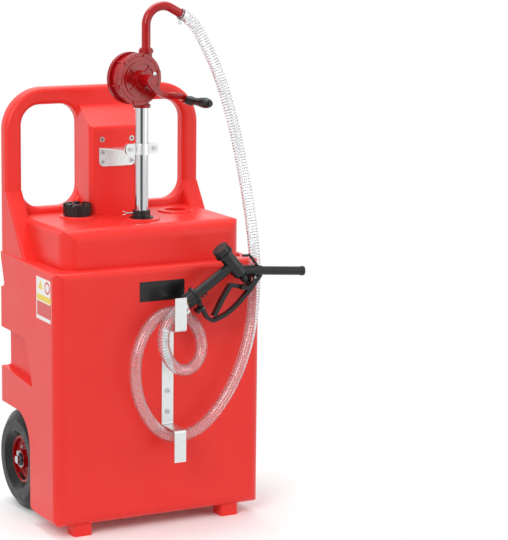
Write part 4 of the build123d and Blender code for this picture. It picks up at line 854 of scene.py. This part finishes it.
@dataclass
class Label:
    """The label on the tank's side: a white film with plain blocks of ink."""

    middle: Triple = (-0.3245, -0.1084, 0.5965)
    size: tuple[float, float] = (0.102, 0.106)
    towards: Triple = (1, 0, 0)
    film: float = 0.06 * MM
    ink: float = 0.02 * MM
    # Name, ink, place across and up, width, height and corners of each block.
    blocks: tuple[InkBlock, ...] = (
        InkBlock("label_triangle", LABEL_YELLOW, 0.22, 0.30, 0.36, 0.30, 3),
        InkBlock("label_disc", LABEL_RED, -0.22, 0.31, 0.34, 0.30, 24),
        InkBlock("label_disc_middle", LABEL_WHITE, -0.22, 0.31, 0.22, 0.20, 24, lift=0.03 * MM),
        InkBlock("label_band", LABEL_YELLOW, 0.0, 0.03, 0.9, 0.14, 4),
        InkBlock("label_block", LABEL_RED, 0.0, -0.24, 0.9, 0.34, 4),
    )

    def build(self) -> None:
        """Lays the film on the tank, and the ink on the film."""
        x, y, z = self.middle
        wide, high = self.size
        PrintedPlate("label_film", LABEL_WHITE, self.middle, self.size, self.towards, self.film).build()
        for block in self.blocks:
            middle = (x, y + block.across * wide, z + block.up * high)
            size = (block.width * wide, block.height * high)
            lift = self.film + block.lift
            PrintedPlate(
                block.name, block.finish, middle, size, self.towards, self.ink, lift, block.corners
            ).build()


@dataclass
class Tank:
    """The moulded tank with its filler, deck fittings, badge and label."""

    moulding: tuple[str, ...] = ("tank_shell", "tank_top", "handle_frame")
    fittings: tuple[str, ...] = ("filler_neck", "filler_cap_ring", "filler_cap_disc", "drum_adaptor")
    badge_middle: Triple = (-0.0393, -0.1853, 0.6105)
    badge_size: tuple[float, float] = (0.123, 0.050)
    badge_towards: Triple = (0, 1, 0)
    badge_thickness: float = 0.8 * MM

    def build(self) -> None:
        """Dresses the tank and lays its plates on it."""
        dress(self.moulding, TANK_RED)
        dress(self.fittings, BLACK_CAP)
        dress(("filler_cap_gasket",), BLACK_RUBBER)
        dress(("wing_screw", "spare_inserts"), SCREW_ZINC)
        PrintedPlate(
            "badge_plate", BADGE_FILM, self.badge_middle, self.badge_size, self.badge_towards,
            self.badge_thickness,
        ).build()
        Label().build()


@dataclass
class TurnedRing:
    """A thin ring that stands on a turned face, such as a bead or the line of painted shade round a shaft's
    end.

    It lies this far along the crank's axis, which runs to the front from a root in the housing.
    """

    name: str
    finish: Finish
    body: str
    along: float
    radius: float
    thickness: float
    root: Triple = (-0.048445, -0.041423, 1.1255)
    axis: Triple = (0.173648, -0.984808, 0.0)
    section: int = 12
    steps: int = 64

    def build(self) -> None:
        """Spins the ring's round section and stands it on the crank's axis."""
        shape = bmesh.new()
        bmesh.ops.create_circle(shape, segments=self.section, radius=self.thickness)
        stand = Matrix.Translation((self.radius, 0, 0)) @ Matrix.Rotation(math.pi / 2, 4, "X")
        bmesh.ops.transform(shape, matrix=stand, verts=shape.verts)
        bmesh.ops.spin(shape, geom=shape.verts[:] + shape.edges[:], cent=(0, 0, 0), axis=(0, 0, 1),
                       angle=2 * math.pi, steps=self.steps, use_merge=True)
        bmesh.ops.recalc_face_normals(shape, faces=shape.faces)
        turn = Vector(self.axis).to_track_quat("Z", "Y").to_matrix().to_4x4()
        place = Matrix.Translation(Vector(self.root) + Vector(self.axis) * self.along)
        bmesh.ops.transform(shape, matrix=place @ turn, verts=shape.verts)
        mesh = mesh_from_shape(shape, self.name)
        finish_piece(self.name, mesh, self.finish, self.body)


@dataclass
class CrossRecesses:
    """The driver's cross in the heads of a row of screws, drawn as two dark bars of painted shade on each.
    """

    node: str
    outward: Triple = (0, -1, 0)
    length: float = 4.6 * MM
    width: float = 0.9 * MM
    proud: float = 0.06 * MM
    face_depth: float = 0.05 * MM

    def heads(self) -> list[Vector]:
        """The middle of each screw's outermost face, read from the carried-over solids.

        Returns:
            One point for each screw.
        """
        shape = merged_copy(self.node)
        outward = Vector(self.outward)
        left, middles = set(shape.verts), []
        while left:
            group, edge = set(), [left.pop()]
            while edge:
                vertex = edge.pop()
                group.add(vertex)
                edge += [near for link in vertex.link_edges if (near := link.other_vert(vertex)) in left]
                left.difference_update(edge)
            reach = max(vertex.co.dot(outward) for vertex in group)
            rim = [vertex.co for vertex in group if reach - vertex.co.dot(outward) < self.face_depth]
            middles.append(sum(rim, Vector()) / len(rim))
        shape.free()
        return middles

    def build(self) -> None:
        """Lays two bars of painted shade crosswise on each head."""
        name = f"{self.node}_recesses"
        turn = Vector(self.outward).to_track_quat("Z", "Y").to_matrix().to_4x4()
        size = Matrix.Diagonal((self.length, self.width, 2 * self.proud, 1.0))
        shape = bmesh.new()
        for middle in self.heads():
            for angle in (math.pi / 4, 3 * math.pi / 4):
                place = Matrix.Translation(middle) @ turn @ Matrix.Rotation(angle, 4, "Z") @ size
                bmesh.ops.create_cube(shape, size=1.0, matrix=place)
        mesh = mesh_from_shape(shape, name)
        # Dark finish: painted shade where the cross is sunk into the head.
        finish_piece(name, mesh, BLACK_STEEL_AND_SHADE, CHASSIS, smooth=False)


@dataclass
class Pump:
    """The rotary pump with its crank, tubes, bracket and bent spout."""

    castings: tuple[str, ...] = ("pump_housing", "pump_front_cover", "pump_rear_cover", "crank_arm")
    painted_over: tuple[str, ...] = ("gland_nut", "cover_bolts", "pump_shaft")
    screws: tuple[str, ...] = ("clamp_bolts", "bracket_screws", "crank_set_screw")
    # Name, finish, body, place along the axis, radius and thickness of each ring.
    rings: tuple[TurnedRing, ...] = (
        # The shaft's end line is painted shade in the groove round the shaft's end.
        TurnedRing("shaft_end_shade_line", BLACK_STEEL_AND_SHADE, CRANK, 78.7 * MM, 8.2 * MM, 0.35 * MM),
        TurnedRing("crank_hub_bead", PUMP_ENAMEL, CRANK, 78.2 * MM, 14.2 * MM, 0.9 * MM),
        TurnedRing("cover_hub_bead", PUMP_ENAMEL, CHASSIS, 40.6 * MM, 19.2 * MM, 0.9 * MM),
        TurnedRing("cover_face_bead", PUMP_ENAMEL, CHASSIS, 24.8 * MM, 56.6 * MM, 0.9 * MM),
    )

    def build(self) -> None:
        """Dresses every piece of the pump."""
        dress(self.castings + self.painted_over, PUMP_ENAMEL)
        dress(("delivery_spout",), SPOUT_ENAMEL)
        dress(("front_gasket", "rear_gasket", "gland_packing"), BLACK_RUBBER)
        dress(self.screws, SCREW_ZINC)
        dress(("pump_rotor",), STEEL)
        dress(("crank_grip_pin",), BLACK_STEEL_AND_SHADE)
        dress(("pump_vanes", "crank_grip", "foot_strainer"), BLACK_NYLON)
        dress(("suction_tube", "lower_suction_tube"), CHROME)
        dress(("pump_bracket", "pump_clamp_half"), ZINC)
        for ring in self.rings:
            ring.build()
        CrossRecesses("bracket_screws").build()


@dataclass
class ValveSpring:
    """The coil spring between the nozzle's cap and its valve. The real spring shortens as the valve lifts;
    this copy keeps the solid's shape.
    """

    node: str = "valve_spring"
    lift: float = 7.5 * MM
    axis: Triple = (-0.647232, 0.03392, 0.761538)

    def build(self) -> None:
        """Copies the solid's spring, which keeps its end at the cap, to a piece of its own and hides the
        solid.
        """
        shape = merged_copy(self.node)
        bmesh.ops.recalc_face_normals(shape, faces=shape.faces)
        mesh = mesh_from_shape(shape, "wound_spring")
        spring = finish_piece("wound_spring", mesh, STEEL, CHASSIS)
        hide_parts(self.node)
        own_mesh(spring)


@dataclass
class Nozzle:
    """The trigger nozzle, its hose fittings and the strip with two hooks that holds the hose."""

    moulded: tuple[str, ...] = ("union_nut", "nozzle_body", "trigger_guard", "nozzle_spout", "valve_cap")
    levers: tuple[str, ...] = ("trigger", "hold_open_latch", "valve_poppet")

    def build(self) -> None:
        """Dresses every piece of the nozzle and the strip."""
        dress(self.moulded + self.levers, BLACK_NYLON)
        dress(("valve_cap_seal",), BLACK_RUBBER)
        dress(("trigger_pin", "latch_pin"), STEEL)
        ValveSpring().build()
        dress(("hose_tail",), BRASS)
        dress(("spout_hose_clamp", "nozzle_hose_clamp", "hose_bracket"), ZINC)
        dress(("hose_bracket_screws",), SCREW_ZINC)
        CrossRecesses("hose_bracket_screws").build()


@dataclass
class Wheels:
    """The axle with its two wheels."""

    sides: tuple[str, ...] = ("right", "left")

    def build(self) -> None:
        """Dresses both wheels and the axle."""
        dress(("axle", "split_pins"), SCREW_ZINC)
        dress(("axle_washers",), BLACK_STEEL_AND_SHADE)
        for side in self.sides:
            dress((f"{side}_tyre",), TYRE)
            dress((f"{side}_inner_tube", f"{side}_valve_stem"), BLACK_RUBBER)
            dress((f"{side}_rim",), RIM_PAINT)
            dress((f"{side}_bearings",), STEEL)
            dress((f"{side}_rim_screws",), SCREW_ZINC)


@dataclass(frozen=True)
class Softbox:
    """One large lamp of the studio."""

    name: str
    place: Triple
    size: tuple[float, float]
    power: float
    aim: Triple = (0.0, 0.0, 0.6)

    def build(self) -> None:
        """Makes the lamp and turns it to what it lights."""
        data = bpy.data.lights.new(self.name, "AREA")
        data.shape = "RECTANGLE"
        data.size, data.size_y = self.size
        data.energy = self.power
        lamp = bpy.data.objects.new(self.name, data)
        lamp.location = self.place
        lamp.rotation_mode = "QUATERNION"
        lamp.rotation_quaternion = (Vector(self.aim) - Vector(self.place)).to_track_quat("-Z", "Y")
        bpy.context.scene.collection.objects.link(lamp)


@dataclass
class Studio:
    """A white studio: pale floor, even surroundings, soft lamps and a dark cloth.

    The floor fades out between two distances from the caddy. Its grain and the cloth's weave
    are in millimetres, and drawn coarse.
    """

    # Name, place, size and power in watts of each lamp.
    lamps: tuple[Softbox, ...] = (
        Softbox("key_softbox", (-2.6, -2.4, 2.4), (1.6, 2.2), 66.0),
        Softbox("fill_softbox", (2.8, -2.6, 1.6), (1.6, 2.4), 28.0),
        Softbox("top_softbox", (-0.2, 0.6, 3.0), (2.2, 1.6), 42.0),
    )
    surroundings: float = 0.7
    white: str = "#FFFFFF"
    floor_radius: float = 3.0
    floor_corners: int = 96
    fade_start: float = 0.22
    fade_end: float = 0.75
    grain_mm: float = 2.0
    grain_depth_mm: float = 0.02
    screen_place: Triple = (-3.1, -6.4, 1.4)
    screen_size: tuple[float, float] = (5.6, 4.5)
    cloth_colours: tuple[str, str] = ("#717274", "#7B7C7E")
    weave_mm: float = 4.0

    def build(self) -> None:
        """Makes the lamps, the surroundings, the floor and the cloth."""
        for lamp in self.lamps:
            lamp.build()
        self.world()
        self.floor()
        self.dark_screen()

    def seen(self, tree: Tree) -> Socket:
        """One for camera, glossy and transmission rays.

        Args:
            tree: The node tree.

        Returns:
            The largest of the three.
        """
        rays = add_node(tree, "ShaderNodeLightPath").outputs
        links = {0: rays["Is Camera Ray"], 1: rays["Is Glossy Ray"]}
        either = add_node(tree, "ShaderNodeMath", links=links, operation="MAXIMUM")
        links = {0: either.outputs[0], 1: rays["Is Transmission Ray"]}
        return add_node(tree, "ShaderNodeMath", links=links, operation="MAXIMUM").outputs[0]

    def world(self) -> None:
        """White to the eye, dimmer as a light."""
        world = bpy.data.worlds.new("studio_surroundings")
        bpy.context.scene.world = world
        tree = empty_tree(world)
        values = {"To Min": self.surroundings, "To Max": 1.0}
        strength = add_node(tree, "ShaderNodeMapRange", values, {"Value": self.seen(tree)})
        links = {"Strength": strength.outputs["Result"]}
        sky = add_node(tree, "ShaderNodeBackground", {"Color": linear(self.white)}, links)
        add_node(tree, "ShaderNodeOutputWorld", links={"Surface": sky.outputs["Background"]})

    def paper(self) -> bpy.types.Material:
        """White paper that keeps the shadow and fades out away from the caddy.

        Returns:
            The material.
        """
        material = bpy.data.materials.new("white paper")
        tree = empty_tree(material)
        place = add_node(tree, "ShaderNodeTexCoord").outputs["Object"]
        length = add_node(tree, "ShaderNodeVectorMath", links={0: place}, operation="LENGTH")
        values = {"From Min": self.fade_start, "From Max": self.fade_end, "To Min": 0.0, "To Max": 1.0}
        links = {"Value": length.outputs["Value"]}
        away = add_node(tree, "ShaderNodeMapRange", values, links, interpolation_type="SMOOTHSTEP")
        grain = bump(tree, noise(tree, place, self.grain_mm), self.grain_depth_mm)
        paper = add_node(tree, "ShaderNodeBsdfDiffuse", {"Color": linear(self.white)}, {"Normal": grain})
        clear = add_node(tree, "ShaderNodeBsdfTransparent")
        links = {0: away.outputs["Result"], 1: paper.outputs["BSDF"], 2: clear.outputs["BSDF"]}
        mixed = add_node(tree, "ShaderNodeMixShader", links=links)
        add_node(tree, "ShaderNodeOutputMaterial", links={"Surface": mixed.outputs["Shader"]})
        return material

    def cloth(self) -> bpy.types.Material:
        """Dark cloth that the camera itself looks through.

        Returns:
            The material.
        """
        material = bpy.data.materials.new("dark cloth")
        tree = empty_tree(material)
        place = add_node(tree, "ShaderNodeTexCoord").outputs["Object"]
        shade = blend_colours(tree, noise(tree, place, self.weave_mm), *self.cloth_colours)
        cloth = add_node(tree, "ShaderNodeBsdfDiffuse", links={"Color": shade})
        clear = add_node(tree, "ShaderNodeBsdfTransparent")
        rays = add_node(tree, "ShaderNodeLightPath").outputs
        links = {0: rays["Is Camera Ray"], 1: cloth.outputs["BSDF"], 2: clear.outputs["BSDF"]}
        mixed = add_node(tree, "ShaderNodeMixShader", links=links)
        add_node(tree, "ShaderNodeOutputMaterial", links={"Surface": mixed.outputs["Shader"]})
        return material

    def floor(self) -> None:
        """The round paper floor."""
        shape = bmesh.new()
        bmesh.ops.create_circle(shape, cap_ends=True, segments=self.floor_corners, radius=self.floor_radius)
        mesh = mesh_from_shape(shape, "paper_floor")
        mesh.materials.append(self.paper())
        floor = bpy.data.objects.new("paper_floor", mesh)
        bpy.context.scene.collection.objects.link(floor)

    def dark_screen(self) -> None:
        """The cloth behind the camera, which only bright metal and gloss paint show."""
        shape = bmesh.new()
        bmesh.ops.create_grid(shape, x_segments=1, y_segments=1, size=HALF)
        away = Vector(self.screen_place)
        turn = (-away).to_track_quat("Z", "Y").to_matrix().to_4x4()
        scale = Matrix.Diagonal((*self.screen_size, 1.0, 1.0))
        bmesh.ops.transform(shape, matrix=Matrix.Translation(away) @ turn @ scale, verts=shape.verts)
        mesh = mesh_from_shape(shape, "dark_screen")
        mesh.materials.append(self.cloth())
        screen = bpy.data.objects.new("dark_screen", mesh)
        bpy.context.scene.collection.objects.link(screen)


def main() -> None:
    """Builds the caddy's looks in order."""
    logging.basicConfig(level=logging.INFO)
    for part in (StudioCamera(), DeliveryHose(), Tank(), Pump(), Nozzle(), Wheels(), Studio()):
        part.build()
        LOG.info("built %s", type(part).__name__)


if __name__ == "__main__":
    main()
